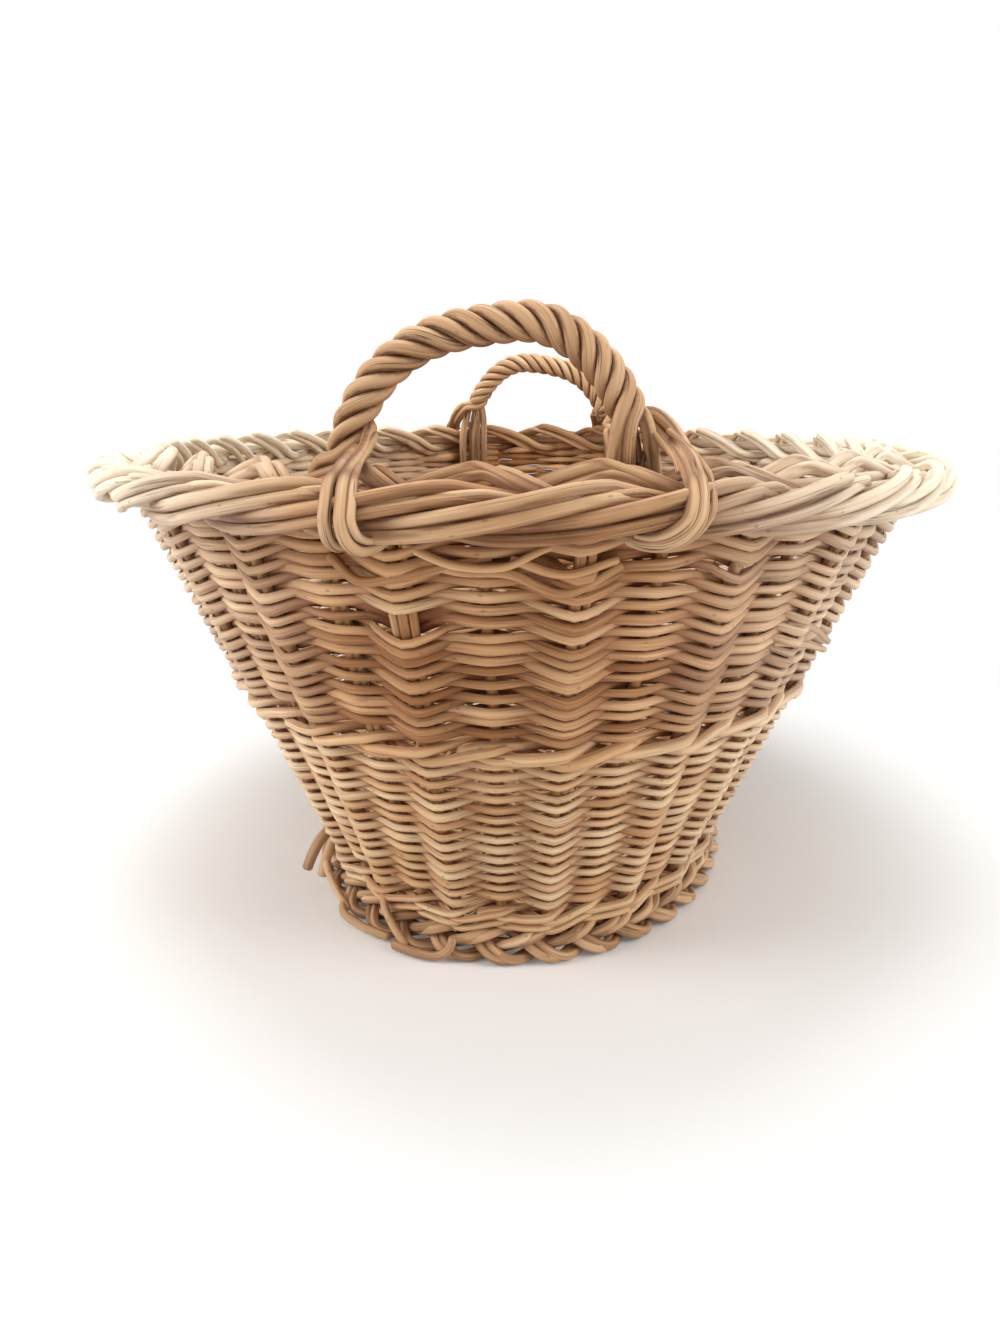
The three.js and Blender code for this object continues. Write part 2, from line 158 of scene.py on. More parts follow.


# Rods: each is lofted ring by ring, so that it keeps its own taper, tone and grain

# how far the painted shade at the edges of a rod reaches over it, how much painted shade lies below it, and
# where it turns from view
rodEdge = {"from": 0.05, "to": 0.62, "below": 0.45, "belowTo": 0.9, "hidden": -0.4, "turned": 0.2}
rodEnd = {"nib": 0.35, "thin": 0.72}  # how far a cut end stands out and how thick it is there, in radii
grainRoom = 9  # metres of willow in which a rod's grain may start
toneRange = (0.02, 0.98)
askew = (0.3, 0.2, 0.93)  # a way that no rod starts along
smoothAngle = math.radians(55)


def newBundle():
    return {"verts": [], "quads": [], "caps": [], "grain": [], "tone": [], "paintedShade": [], "count": 0}


def carriedAcross(travel):
    # a section direction carried on from point to point, for rods that run every way
    start = np.cross(travel[0], askew)
    across = [start / np.linalg.norm(start)]
    for way in travel[1:]:
        last = across[-1]
        last = last - way * np.dot(last, way)
        across.append(last / np.linalg.norm(last))
    return np.array(across)


def layRod(bundle, spots, radius, sides, tone, paintedShade=0.0, facing=None, squash=1.0, outward=None, edging=1.0):
    spots = np.asarray(spots, float)
    count = len(spots)
    radius = np.broadcast_to(radius, count)
    paintedShade = np.broadcast_to(paintedShade, count)
    travel = unit(np.gradient(spots, axis=0))
    if facing is None:
        across = carriedAcross(travel)
    else:
        across = unit(facing - travel * np.sum(facing * travel, -1, keepdims=True))
    # a small rounded step closes each cut end
    first = spots[0] - travel[0] * radius[0] * rodEnd["nib"]
    last = spots[-1] + travel[-1] * radius[-1] * rodEnd["nib"]
    spots = np.vstack([first, spots, last])
    radius = np.concatenate([[radius[0] * rodEnd["thin"]], radius, [radius[-1] * rodEnd["thin"]]])
    paintedShade = np.concatenate([[paintedShade[0]], paintedShade, [paintedShade[-1]]])
    across = np.vstack([across[:1], across, across[-1:]])
    travel = np.vstack([travel[:1], travel, travel[-1:]])
    count += 2
    along = np.cross(travel, across)
    angle = fullTurn * np.arange(sides) / sides
    around = across[:, None] * (squash * np.cos(angle))[None, :, None]
    around = around + along[:, None] * np.sin(angle)[None, :, None]
    verts = spots[:, None] + around * radius[:, None, None]
    shadows = np.repeat(paintedShade[:, None], sides, 1)
    if outward is not None:
        # painted shade along both edges, where a rod lies against its neighbours, and on its underside
        outward = np.vstack([outward[:1], outward, outward[-1:]])
        shows = np.sum(unit(around) * outward[:, None], -1)
        edge = 1 - easeStep(rodEdge["from"], rodEdge["to"], np.abs(shows))
        shadows = shadows * easeStep(rodEdge["hidden"], rodEdge["turned"], shows)
        below = easeStep(0.0, rodEdge["belowTo"], -unit(around)[..., 2])
        below = below * easeStep(-rodEdge["turned"], rodEdge["turned"], shows)
        shadows = np.clip(shadows + edging * (edge + rodEdge["below"] * below), 0, 1)
    walked = np.concatenate([[0.0], np.cumsum(np.linalg.norm(np.diff(spots, axis=0), axis=1))])
    grain = np.empty((count, sides, 3))
    grain[..., 0] = walked[:, None] + luck.uniform(0, grainRoom)
    grain[..., 1] = radius[:, None] * np.cos(angle)[None]
    grain[..., 2] = radius[:, None] * np.sin(angle)[None]
    start = bundle["count"]
    i, j = np.meshgrid(np.arange(count - 1), np.arange(sides), indexing="ij")
    k = (j + 1) % sides
    quads = np.stack([i * sides + j, i * sides + k, (i + 1) * sides + k, (i + 1) * sides + j], -1)
    bundle["verts"].append(verts.reshape(-1, 3))
    bundle["grain"].append(grain.reshape(-1, 3))
    bundle["tone"].append(np.full(count * sides, tone))
    bundle["paintedShade"].append(shadows.ravel())
    bundle["quads"].append(quads.reshape(-1, 4) + start)
    bundle["caps"].append(start + np.arange(sides)[::-1])
    bundle["caps"].append(start + (count - 1) * sides + np.arange(sides))
    bundle["count"] += count * sides


def rodTone(middle=0.5, spread=0.16):
    return float(np.clip(luck.normal(middle, spread), *toneRange))


def layLoose(bundle, spots, thickness, values):
    # a rod that has come away, its thickness in millimetres
    radius = mm * thickness * np.linspace(*values["taper"], len(spots))
    # the rod's dark value is painted shade
    layRod(bundle, spots, radius, values["sides"], rodTone(*values["tone"]), values["dark"])


def makePiece(node, bundle, slot):
    # a piece is named after the node that it replaces, and its material after its slot
    name = f"willow_{node}"
    faces = [list(q) for q in np.vstack(bundle["quads"])] + [list(c) for c in bundle["caps"]]
    mesh = bpy.data.meshes.new(name)
    mesh.from_pydata(np.vstack(bundle["verts"]), [], faces)
    grain = mesh.attributes.new("grain", "FLOAT_VECTOR", "POINT")
    grain.data.foreach_set("vector", np.vstack(bundle["grain"]).ravel())
    for key in ("tone", "paintedShade"):
        layer = mesh.attributes.new(key, "FLOAT", "POINT")
        layer.data.foreach_set("value", np.concatenate(bundle[key]))
    mesh.materials.append(willows[slot])
    piece = bpy.data.objects.new(name, mesh)
    bpy.context.scene.collection.objects.link(piece)
    bpy.ops.object.select_all(action="DESELECT")
    piece.select_set(True)
    bpy.context.view_layer.objects.active = piece
    bpy.ops.object.shade_smooth_by_angle(angle=smoothAngle)
    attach(piece, rootBody)
    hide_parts(node)
    print("piece", name, "faces", len(mesh.polygons))


# Materials: one willow group, placed in each material with its own colours

def mathNode(tree, operation, first, second=None, clamp=False):
    node = tree.nodes.new("ShaderNodeMath")
    node.operation = operation
    node.use_clamp = clamp
    for socket, value in zip(node.inputs, (first, second)):
        if value is None:
            continue
        if isinstance(value, (int, float)):
            socket.default_value = value
        else:
            tree.links.new(value, socket)
    return node.outputs[0]


def mixColour(tree, factor, first, second, blend="MIX"):
    node = tree.nodes.new("ShaderNodeMix")
    node.data_type = "RGBA"
    node.blend_type = blend
    for name, value in (("Factor_Float", factor), ("A_Color", first), ("B_Color", second)):
        socket = next(s for s in node.inputs if s.identifier == name)
        if isinstance(value, (int, float)):
            socket.default_value = value
        elif isinstance(value, tuple):
            socket.default_value = (*value, 1.0)
        else:
            tree.links.new(value, socket)
    return next(s for s in node.outputs if s.identifier == "Result_Color")


def stretchedNoise(tree, vector, scale, detail):
    mapping = tree.nodes.new("ShaderNodeMapping")
    mapping.inputs["Scale"].default_value = scale
    tree.links.new(vector, mapping.inputs["Vector"])
    noise = tree.nodes.new("ShaderNodeTexNoise")
    noise.inputs["Scale"].default_value = 1.0
    noise.inputs["Detail"].default_value = detail
    tree.links.new(mapping.outputs[0], noise.inputs["Vector"])
    return noise.outputs["Fac"]


# noises have a scale, along and across a rod or over the whole basket, and a detail; the rest says where
# each kind of mark begins, how fast it grows and how much of it shows
willowLook = {
    "broad": ((14.0, 420.0, 420.0), 3.0),
    "fine": ((55.0, 1700.0, 1700.0), 4.0),
    "patch": ((11.0, 11.0, 17.0), 3.0),
    "blotch": ((38.0, 130.0, 130.0), 2.0),
    "crackLine": ((6.0, 560.0, 560.0), 1.0),
    "fineShare": 0.55,
    # the pale colour of the long sides is partly bleaching and partly painted light
    "bleachAndLightColour": (0.88, 0.79, 0.63), "bleachAndLightFrom": 0.07, "bleachAndLightRise": 7.0, "bleachAndLightLeast": 0.55,
    "bareShare": 0.6,  # how much painted shade and blotch a paler place has lost
    "blotchColour": (0.46, 0.21, 0.09), "blotchFrom": 0.6, "blotchRise": 3.0, "blotchShare": 0.35,
    "crackThin": 42.0, "crackFrom": 0.40, "crackRise": 6.0,
    "speckScale": (95.0, 190.0, 190.0), "speckSize": 0.13, "speckRise": 18.0, "speckBump": -0.5,
    # the least, patchy and most painted shade in the recesses
    "shadeLeast": 0.45, "shadePatch": 0.8, "shadeMost": 0.92,
    "roughLeast": 0.5, "roughFine": 0.28,
    "ridgeFine": 0.5, "ridgeBroad": 0.6,
}
noiseMiddle = 0.5


def buildWillowGroup():
    look = willowLook
    tree = bpy.data.node_groups.new("willowRod", "ShaderNodeTree")
    face = tree.interface
    for name in ("Deep", "Middle", "Pale", "Soot"):
        face.new_socket(name, in_out="INPUT", socket_type="NodeSocketColor")
    for name in ("Streak", "Crack", "Speck", "Patina", "BleachAndSideLight"):
        face.new_socket(name, in_out="INPUT", socket_type="NodeSocketFloat")
    face.new_socket("Color", in_out="OUTPUT", socket_type="NodeSocketColor")
    face.new_socket("Roughness", in_out="OUTPUT", socket_type="NodeSocketFloat")
    face.new_socket("Height", in_out="OUTPUT", socket_type="NodeSocketFloat")
    given = tree.nodes.new("NodeGroupInput").outputs
    result = tree.nodes.new("NodeGroupOutput").inputs

    def attribute(name):
        node = tree.nodes.new("ShaderNodeAttribute")
        node.attribute_name = name
        return node

    def times(first, second, clamp=False):
        return mathNode(tree, "MULTIPLY", first, second, clamp)

    def plus(first, second):
        return mathNode(tree, "ADD", first, second)

    def minus(first, second, clamp=False):
        return mathNode(tree, "SUBTRACT", first, second, clamp)

    grain = attribute("grain").outputs["Vector"]
    tone = attribute("tone").outputs["Fac"]
    # this attribute is painted shade, worked out from where each rod lies
    paintedShade = attribute("paintedShade").outputs["Fac"]
    place = tree.nodes.new("ShaderNodeTexCoord").outputs["Object"]
    broad = stretchedNoise(tree, grain, *look["broad"])
    fine = stretchedNoise(tree, grain, *look["fine"])
    patch = stretchedNoise(tree, place, *look["patch"])
    blotch = stretchedNoise(tree, grain, *look["blotch"])
    crackLine = stretchedNoise(tree, grain, *look["crackLine"])

    # tone of the rod, moved by streaks along it and by patches over the whole basket
    shift = times(minus(broad, noiseMiddle), given["Streak"])
    fineShift = times(minus(fine, noiseMiddle), look["fineShare"])
    patchShift = times(minus(patch, noiseMiddle), given["Patina"])
    level = plus(plus(tone, shift), plus(fineShift, patchShift))
    low = times(level, 2.0, clamp=True)
    high = minus(times(level, 2.0), 1.0, clamp=True)
    colour = mixColour(tree, low, given["Deep"], given["Middle"])
    colour = mixColour(tree, high, colour, given["Pale"])

    # the long sides are paler, partly bleached and partly painted light where the side lamps fall; the two
    # ends stay brown
    parts = tree.nodes.new("ShaderNodeSeparateXYZ")
    tree.links.new(place, parts.inputs[0])
    aside = minus(mathNode(tree, "ABSOLUTE", parts.outputs["X"]), look["bleachAndLightFrom"])
    bleachedAndLit = times(times(aside, look["bleachAndLightRise"], clamp=True), given["BleachAndSideLight"])
    bleachedAndLit = times(bleachedAndLit, plus(look["bleachAndLightLeast"], broad), clamp=True)
    colour = mixColour(tree, bleachedAndLit, colour, look["bleachAndLightColour"])
    kept = minus(1.0, times(times(bleachedAndLit, bleachedAndLit), look["bareShare"]))

    # reddish blotches, dark lengthwise cracks and bud specks
    blotchMask = times(minus(blotch, look["blotchFrom"]), look["blotchRise"], clamp=True)
    blotchMask = times(times(blotchMask, look["blotchShare"]), kept)
    colour = mixColour(tree, blotchMask, colour, look["blotchColour"])
    off = mathNode(tree, "ABSOLUTE", minus(crackLine, noiseMiddle))
    thin = minus(1.0, times(off, look["crackThin"]), clamp=True)
    where = times(minus(blotch, look["crackFrom"]), look["crackRise"], clamp=True)
    crack = times(times(thin, where), given["Crack"], clamp=True)
    colour = mixColour(tree, crack, colour, given["Soot"])
    spots = tree.nodes.new("ShaderNodeTexVoronoi")
    spots.inputs["Scale"].default_value = 1.0
    stretch = tree.nodes.new("ShaderNodeMapping")
    stretch.inputs["Scale"].default_value = look["speckScale"]
    tree.links.new(grain, stretch.inputs["Vector"])
    tree.links.new(stretch.outputs[0], spots.inputs["Vector"])
    near = minus(look["speckSize"], spots.outputs["Distance"])
    dot = times(times(near, look["speckRise"], clamp=True), given["Speck"], clamp=True)
    colour = mixColour(tree, dot, colour, given["Soot"])

    # painted shade where a rod lies back behind its neighbours, in the grooves between them and on its
    # underside, patchy over the basket
    hidden = times(paintedShade, plus(look["shadeLeast"], times(patch, look["shadePatch"])))
    hidden = times(mathNode(tree, "MINIMUM", hidden, look["shadeMost"]), kept)
    colour = mixColour(tree, hidden, colour, given["Deep"], "MULTIPLY")
    tree.links.new(colour, result["Color"])
    rough = plus(look["roughLeast"], times(fine, look["roughFine"]))
    tree.links.new(rough, result["Roughness"])
    ridge = plus(times(fine, look["ridgeFine"]), times(broad, look["ridgeBroad"]))
    dents = plus(crack, times(dot, look["speckBump"]))
    tree.links.new(minus(ridge, dents), result["Height"])
    return tree


willowGroup = buildWillowGroup()

# colours are linear; Streak, Crack, Speck, Patina and BleachAndSideLight say how much of each a finish
# shows, and BleachAndSideLight is partly painted light on the long sides
finishes = {
    "stake_willow": {
        "Deep": (0.30, 0.125, 0.042), "Middle": (0.50, 0.270, 0.115), "Pale": (0.66, 0.44, 0.24),
        "Streak": 0.9, "Crack": 0.6, "Speck": 0.5, "Patina": 0.5, "BleachAndSideLight": 0.2,
    },
    "weave_willow": {
        "Deep": (0.31, 0.130, 0.040), "Middle": (0.64, 0.375, 0.180), "Pale": (0.80, 0.59, 0.36),
        "Streak": 0.9, "Crack": 0.5, "Speck": 0.4, "Patina": 0.9, "BleachAndSideLight": 0.6,
    },
    "border_willow": {
        "Deep": (0.26, 0.105, 0.033), "Middle": (0.56, 0.335, 0.170), "Pale": (0.76, 0.57, 0.37),
        "Streak": 0.8, "Crack": 0.6, "Speck": 0.4, "Patina": 0.8, "BleachAndSideLight": 1.0,
    },
    # the foot's colours are paler, partly painted light that offsets the shade it lies in by the floor
    "foot_willow": {
        "Deep": (0.28, 0.145, 0.065), "Middle": (0.65, 0.400, 0.215), "Pale": (0.84, 0.63, 0.41),
        "Streak": 0.9, "Crack": 0.6, "Speck": 0.4, "Patina": 0.9, "BleachAndSideLight": 0.2,
    },
    "base_willow": {
        "Deep": (0.28, 0.14, 0.06), "Middle": (0.52, 0.31, 0.155), "Pale": (0.68, 0.48, 0.27),
        "Streak": 0.8, "Crack": 0.4, "Speck": 0.4, "Patina": 0.8, "BleachAndSideLight": 0.0,
    },
    "handle_willow": {
        "Deep": (0.20, 0.088, 0.034), "Middle": (0.60, 0.365, 0.195), "Pale": (0.76, 0.54, 0.33),
        "Streak": 0.9, "Crack": 1.0, "Speck": 0.25, "Patina": 0.5, "BleachAndSideLight": 0.0,
    },
}
sootColour = (0.07, 0.032, 0.014)
willowSurface = {"bumpStrength": 0.55, "bumpDistance": 0.0006, "specular": 0.35}


def makeWillow(name, values):
    material = bpy.data.materials.new(name)
    material.use_nodes = True
    tree = material.node_tree
    shader = tree.nodes["Principled BSDF"]
    group = tree.nodes.new("ShaderNodeGroup")
    group.node_tree = willowGroup
    group.inputs["Soot"].default_value = (*sootColour, 1.0)
    for key, value in values.items():
        group.inputs[key].default_value = (*value, 1.0) if isinstance(value, tuple) else value
    bump = tree.nodes.new("ShaderNodeBump")
    bump.inputs["Strength"].default_value = willowSurface["bumpStrength"]
    bump.inputs["Distance"].default_value = willowSurface["bumpDistance"]
    tree.links.new(group.outputs["Height"], bump.inputs["Height"])
    tree.links.new(group.outputs["Color"], shader.inputs["Base Color"])
    tree.links.new(group.outputs["Roughness"], shader.inputs["Roughness"])
    tree.links.new(bump.outputs["Normal"], shader.inputs["Normal"])
    shader.inputs["Specular IOR Level"].default_value = willowSurface["specular"]
    return material


willows = {name: makeWillow(name, values) for name, values in finishes.items()}
print("materials", len(willows))


# Stakes by turns stand a little out and a little in, most of all at the front
stakeStagger = {"amount": 0.0019, "full": 9.0, "none": 17.0}


def stakesAway(q, stake):
    # distance round the ring, in stakes
    half = wall["stakes"] / 2
    return np.mod(q - stake + half, wall["stakes"]) - half


def stagger(q):
    ring = stakesAway(q, 0)
    fade = 1 - easeStep(stakeStagger["full"], stakeStagger["none"], np.abs(ring))
    return -stakeStagger["amount"] * np.cos(math.pi * ring) * fade


# Stakes: uprights of the wall, some with thinner bye-stakes pushed in beside them
stakeRods = {
    "foot": -0.013,
    "head": 0.2290,
    "points": 22,
    "buttRadius": 0.0033,
    "tipRadius": 0.0027,
    "sides": 8,
    "tone": 0.4,
    # bends: how many to the metre, how they differ from stake to stake, how far to the side and out
    "bendsPerMetre": 5, "bendDrift": 1.7, "bendWaves": (1, 2), "bend": 0.0009, "bendOut": 0.4,
    # painted shade behind the weave, and by so much less where the weave is open
    "dark": 0.6, "lighter": 0.35, "openFrom": 0.155, "openTo": 0.180,
    "byes": {42: (-1, 1), 1: (1,)},  # sides of the stakes that show more than one upright under the border
    "byeChance": 0.55,  # for any other stake
    # bye-stakes carry painted shade too
    "byeFrom": 0.085, "byeShort": 0.002, "byePoints": 14, "byeRadius": 0.0019, "byeSides": 6,
    "byeAside": 0.0050, "byeSplay": (0.75, 1.1), "byeOut": 0.0004, "byeTone": 0.5, "byeDark": 0.3,
}


def buildStakes():
    rods = stakeRods
    heights = np.linspace(rods["foot"], rods["head"], rods["points"])
    rim = ovalLength(rimHalfWidth, rimHalfLength)
    for i in range(wall["stakes"]):
        bundle = newBundle()
        share = i / wall["stakes"]
        waves = drawWaves(rods["bendWaves"])
        bend = sway(heights * rods["bendsPerMetre"], i * rods["bendDrift"], rods["bend"], waves)
        proud = float(stagger(np.array([i]))[0])
        spots, facing = wallPlace(share + bend / rim, heights, bend * rods["bendOut"] + proud)
        radius = np.linspace(rods["buttRadius"], rods["tipRadius"], len(heights))
        # painted shade on the stake, less where the weave is open above
        dark = rods["dark"] - rods["lighter"] * easeStep(rods["openFrom"], rods["openTo"], heights)
        layRod(bundle, spots, radius, rods["sides"], rodTone(rods["tone"]), dark, facing)
        chance = (int(luck.choice([-1, 1])),) if luck.uniform() < rods["byeChance"] else ()
        for side in rods["byes"].get(i, chance):
            tall = np.linspace(rods["byeFrom"], rods["head"] - rods["byeShort"], rods["byePoints"])
            aside = side * rods["byeAside"] * np.linspace(*rods["byeSplay"], len(tall))
            spots, facing = wallPlace(share + aside / rim, tall, rods["byeOut"] + proud)
            tone = rodTone(rods["byeTone"])
            layRod(bundle, spots, rods["byeRadius"], rods["byeSides"], tone, rods["byeDark"], facing)
        makePiece(f"stake_{i + 1:02d}", bundle, "stake_willow")


# Weave: one long spiral of rods, in front of one stake and behind the next
lowerWeave = {
    "from": 0.0090, "to": 0.1120, "rows": 29,
    "radius": 0.00245, "girthSpread": 0.09, "swellOut": 0.05, "swellIn": 0.46,
    "swing": 0.0044, "uneven": 0.0008, "nest": 0.42, "dip": 0.0008,
    "rodStakes": (9, 15), "steps": 8, "sides": 7, "tone": 0.70,
    "holes": (), "misses": (),
}
upperWeave = {
    "from": 0.1185, "to": 0.2345, "rows": 35,
    "radius": 0.00278, "girthSpread": 0.13, "swellOut": 0.07, "swellIn": 0.40,
    "swing": 0.0047, "uneven": 0.0020, "nest": 0.42, "dip": 0.0034,
    # the upper rows are darker in tone: partly browner rods, partly painted shade under the border's
    # overhang
    "rodStakes": (7, 13), "steps": 8, "sides": 7, "tone": 0.27,
    # stake, height, how far the rows part, reach in stakes and in height
    "holes": ((2.72, 0.205, 0.0032, 0.42, 0.007), (1.05, 0.213, 0.0034, 0.6, 0.006),
              (-1.0, 0.184, 0.0036, 0.55, 0.008)),
    # stake, lowest and highest height where the rods miss it and pass behind
    "misses": ((-1, 0.1795, 0.1915), (1, 0.2095, 0.2185)),
}
# what both weaves share
weaver = {
    "waves": (2, 3, 5, 9, 14),
    "tip": 0.985, "creaseLeast": 0.45, "creaseProud": 0.5,
    "dipOver": 0.03,  # height over which the dip at proud stakes grows to its full depth
    "holeSteep": 3, "holeFade": 0.5, "missReach": 0.5, "missEdge": 0.001,
    "overlap": 0.4, "butt": 1.10, "taper": 0.20, "girthRange": (0.90, 1.25), "slim": 0.84,
    "buttFrom": 0.2, "buttTo": 0.9, "buttIn": 2.0, "lift": 0.0003,
    "toneSpread": 0.19, "flat": 0.84, "edging": 0.6,
}


def creased(wave):
    # a wave drawn out to sharp tips
    return np.arcsin(weaver["tip"] * wave) / math.asin(weaver["tip"])


def weaveRoute(values, q, waves):
    climb = q / wall["stakes"]
    pitch = (values["to"] - values["from"]) / (values["rows"] + 1)
    height = values["from"] + pitch * (climb + 0.5)
    height = height + sway(climb, climb, values["uneven"], waves)
    wave = np.cos(math.pi * q)
    # rods crease and dip where they round a proud stake, and lie flat over the next
    proud = stagger(q) / stakeStagger["amount"]
    sharp = weaver["creaseLeast"] + weaver["creaseProud"] * asShare(proud)
    wave = wave + (creased(wave) - wave) * sharp
    dip = values["dip"] * np.maximum(creased(proud), 0)
    height = height - dip * easeStep(values["from"], values["from"] + weaver["dipOver"], height)
    for stake, middle, part, reachStakes, reachHeight in values["holes"]:
        near = np.exp(-(stakesAway(q, stake) / reachStakes) ** 2)
        above = (height - middle) / reachHeight
        opened = part * near * np.tanh(above * weaver["holeSteep"])
        height = height + opened * np.exp(-above**2 * weaver["holeFade"])
    for stake, low, high in values["misses"]:
        near = np.exp(-(stakesAway(q, stake) / weaver["missReach"]) ** 4)
        inside = easeStep(low - weaver["missEdge"], low, height)
        inside = inside * (1 - easeStep(high, high + weaver["missEdge"], height))
        wave = wave * (1 - near * inside) - near * inside
    return height, wave


def layWeave(bundle, values):
    waves = drawWaves(weaver["waves"])
    flat, edging = weaver["flat"], weaver["edging"]
    total = values["rows"] * wall["stakes"]
    start = 1
    while start < total:
        length = 2 * int(luck.integers(*values["rodStakes"]) // 2)
        end = min(start + length, total - 1)
        if (end - start) % 2:
            end -= 1
        if end <= start:
            break
        q = np.arange(start - weaver["overlap"], end + weaver["overlap"], 1 / values["steps"])
        height, wave = weaveRoute(values, q, waves)
        part = (q - q[0]) / (q[-1] - q[0])
        taper = weaver["butt"] - weaver["taper"] * part
        girth = np.clip(luck.normal(1.0, values["girthSpread"]), *weaver["girthRange"])
        swell = np.where(wave > 0, values["swellOut"], values["swellIn"])
        girth = girth * (weaver["slim"] + swell * wave**2)
        radius = values["radius"] * taper * girth
        # a new rod starts beside the last one's end, inside
        butt = 1 - easeStep(weaver["buttFrom"], weaver["buttTo"], q - q[0])
        out = values["swing"] * wave + stagger(q) - weaver["buttIn"] * values["radius"] * butt
        lift = luck.normal(0, weaver["lift"])
        nest = values["nest"] * np.minimum(values["swing"] * wave, 0)  # inside, a rod sits lower
        spots, facing = wallPlace(q / wall["stakes"], height + lift + nest, out)
        # painted shade where the rod passes behind a stake
        paintedShade = np.clip(asShare(-wave), 0, 1)
        tone = rodTone(values["tone"], weaver["toneSpread"])
        layRod(bundle, spots, radius, values["sides"], tone, paintedShade, facing, flat, facing, edging)
        start = end


# loose thin rods under the border and two broken ends: thickness in millimetres, then stake, height and out
looseWeavers = (
    (1.8, ((-0.83, 219.5, 3), (-0.28, 213.8, 7), (0.25, 214, 7), (0.60, 219.8, 5), (0.84, 220.5, 1))),
    (2.1, ((-1.73, 213.8, 4), (-1.40, 206, 8), (-0.90, 208, 7), (-0.46, 212, 6), (0.06, 215, 2))),
    (2.0, ((0.29, 214.3, 3), (0.81, 210.6, 8), (1.41, 213.5, 3))),
    (2.1, ((-0.64, 212.7, 3), (-0.27, 211, 6), (0.25, 210, 6), (0.82, 202, 8), (1.47, 210.7, 3))),
    (2.0, ((4.70, 168.5, 1), (5.00, 168, 4), (5.35, 165, 9), (5.60, 160, 15))),
    (1.8, ((4.60, 158, 1), (4.90, 158, 5), (5.30, 157, 10), (5.65, 155, 15))),
)
looseWeaver = {"taper": (1.08, 0.9), "sides": 8, "tone": (0.4, 0.12), "dark": 0.15}


def layLooseWeavers(bundle):
    for thickness, points in looseWeavers:
        stake, height, out = np.array(points, float).T
        places, _ = wallPlace(stake / wall["stakes"], mm * height, mm * out)
        layLoose(bundle, smoothRoute(places, routes["loose"]), thickness, looseWeaver)


# Wales: stout rods twisted along the wall, each over two stakes and behind one
footWale = {"rounds": (-0.0020, 0.0045), "radius": 0.0023, "stack": 0.0022, "swing": 0.0054}
middleWale = {"rounds": (0.1142,), "radius": 0.0030, "stack": 0.0031, "swing": 0.0060}
waler = {
    "rods": 3, "joins": (14, 29), "steps": 8, "sides": 9, "waves": (2, 3, 5), "uneven": 0.0009,
    "proudest": 1.10, "overlap": 0.5, "butt": 1.15, "taper": 0.3,
    "buttFrom": 0.2, "buttTo": 1.0, "buttIn": 1.5,
    "tone": (0.62, 0.12), "flat": 0.95, "edging": 0.6,
}


def layWale(bundle, values):
    waves = drawWaves(waler["waves"])
    flat, edging = waler["flat"], waler["edging"]
    for rod, at in [(rod, at) for at in values["rounds"] for rod in range(waler["rods"])]:
        starts = [0, *(join + rod for join in waler["joins"]), wall["stakes"]]
        for begin, end in zip(starts, starts[1:]):
            q = np.arange(begin - waler["overlap"], end + waler["overlap"], 1 / waler["steps"])
            turn = fullTurn * (q - rod) / waler["rods"]
            # 1 in front of two stakes, -1 behind the third
            wave = np.clip(1 / 3 - 4 / 3 * np.cos(turn), -1.0, waler["proudest"])
            height = at - values["stack"] * np.sin(turn)
            height = height + sway(q / wall["stakes"], 0, waler["uneven"], waves)
            part = (q - q[0]) / (q[-1] - q[0])
            radius = values["radius"] * (waler["butt"] - waler["taper"] * part)
            butt = 1 - easeStep(waler["buttFrom"], waler["buttTo"], q - q[0])
            out = values["swing"] * wave + stagger(q) - waler["buttIn"] * values["radius"] * butt
            spots, facing = wallPlace(q / wall["stakes"], height, out)
            # painted shade where the rod passes behind a stake
            paintedShade = np.clip(asShare(-wave), 0, 1)
            tone = rodTone(*waler["tone"])
            layRod(bundle, spots, radius, waler["sides"], tone, paintedShade, facing, flat, facing, edging)


def buildWall():
    buildStakes()
    for name, values, lay in (
        ("foot_wale", footWale, layWale),
        ("lower_weave", lowerWeave, layWeave),
        ("middle_wale", middleWale, layWale),
        ("upper_weave", upperWeave, layWeave),
    ):
        bundle = newBundle()
        lay(bundle, values)
        if name == "upper_weave":
            layLooseWeavers(bundle)
        makePiece(name, bundle, "weave_willow")


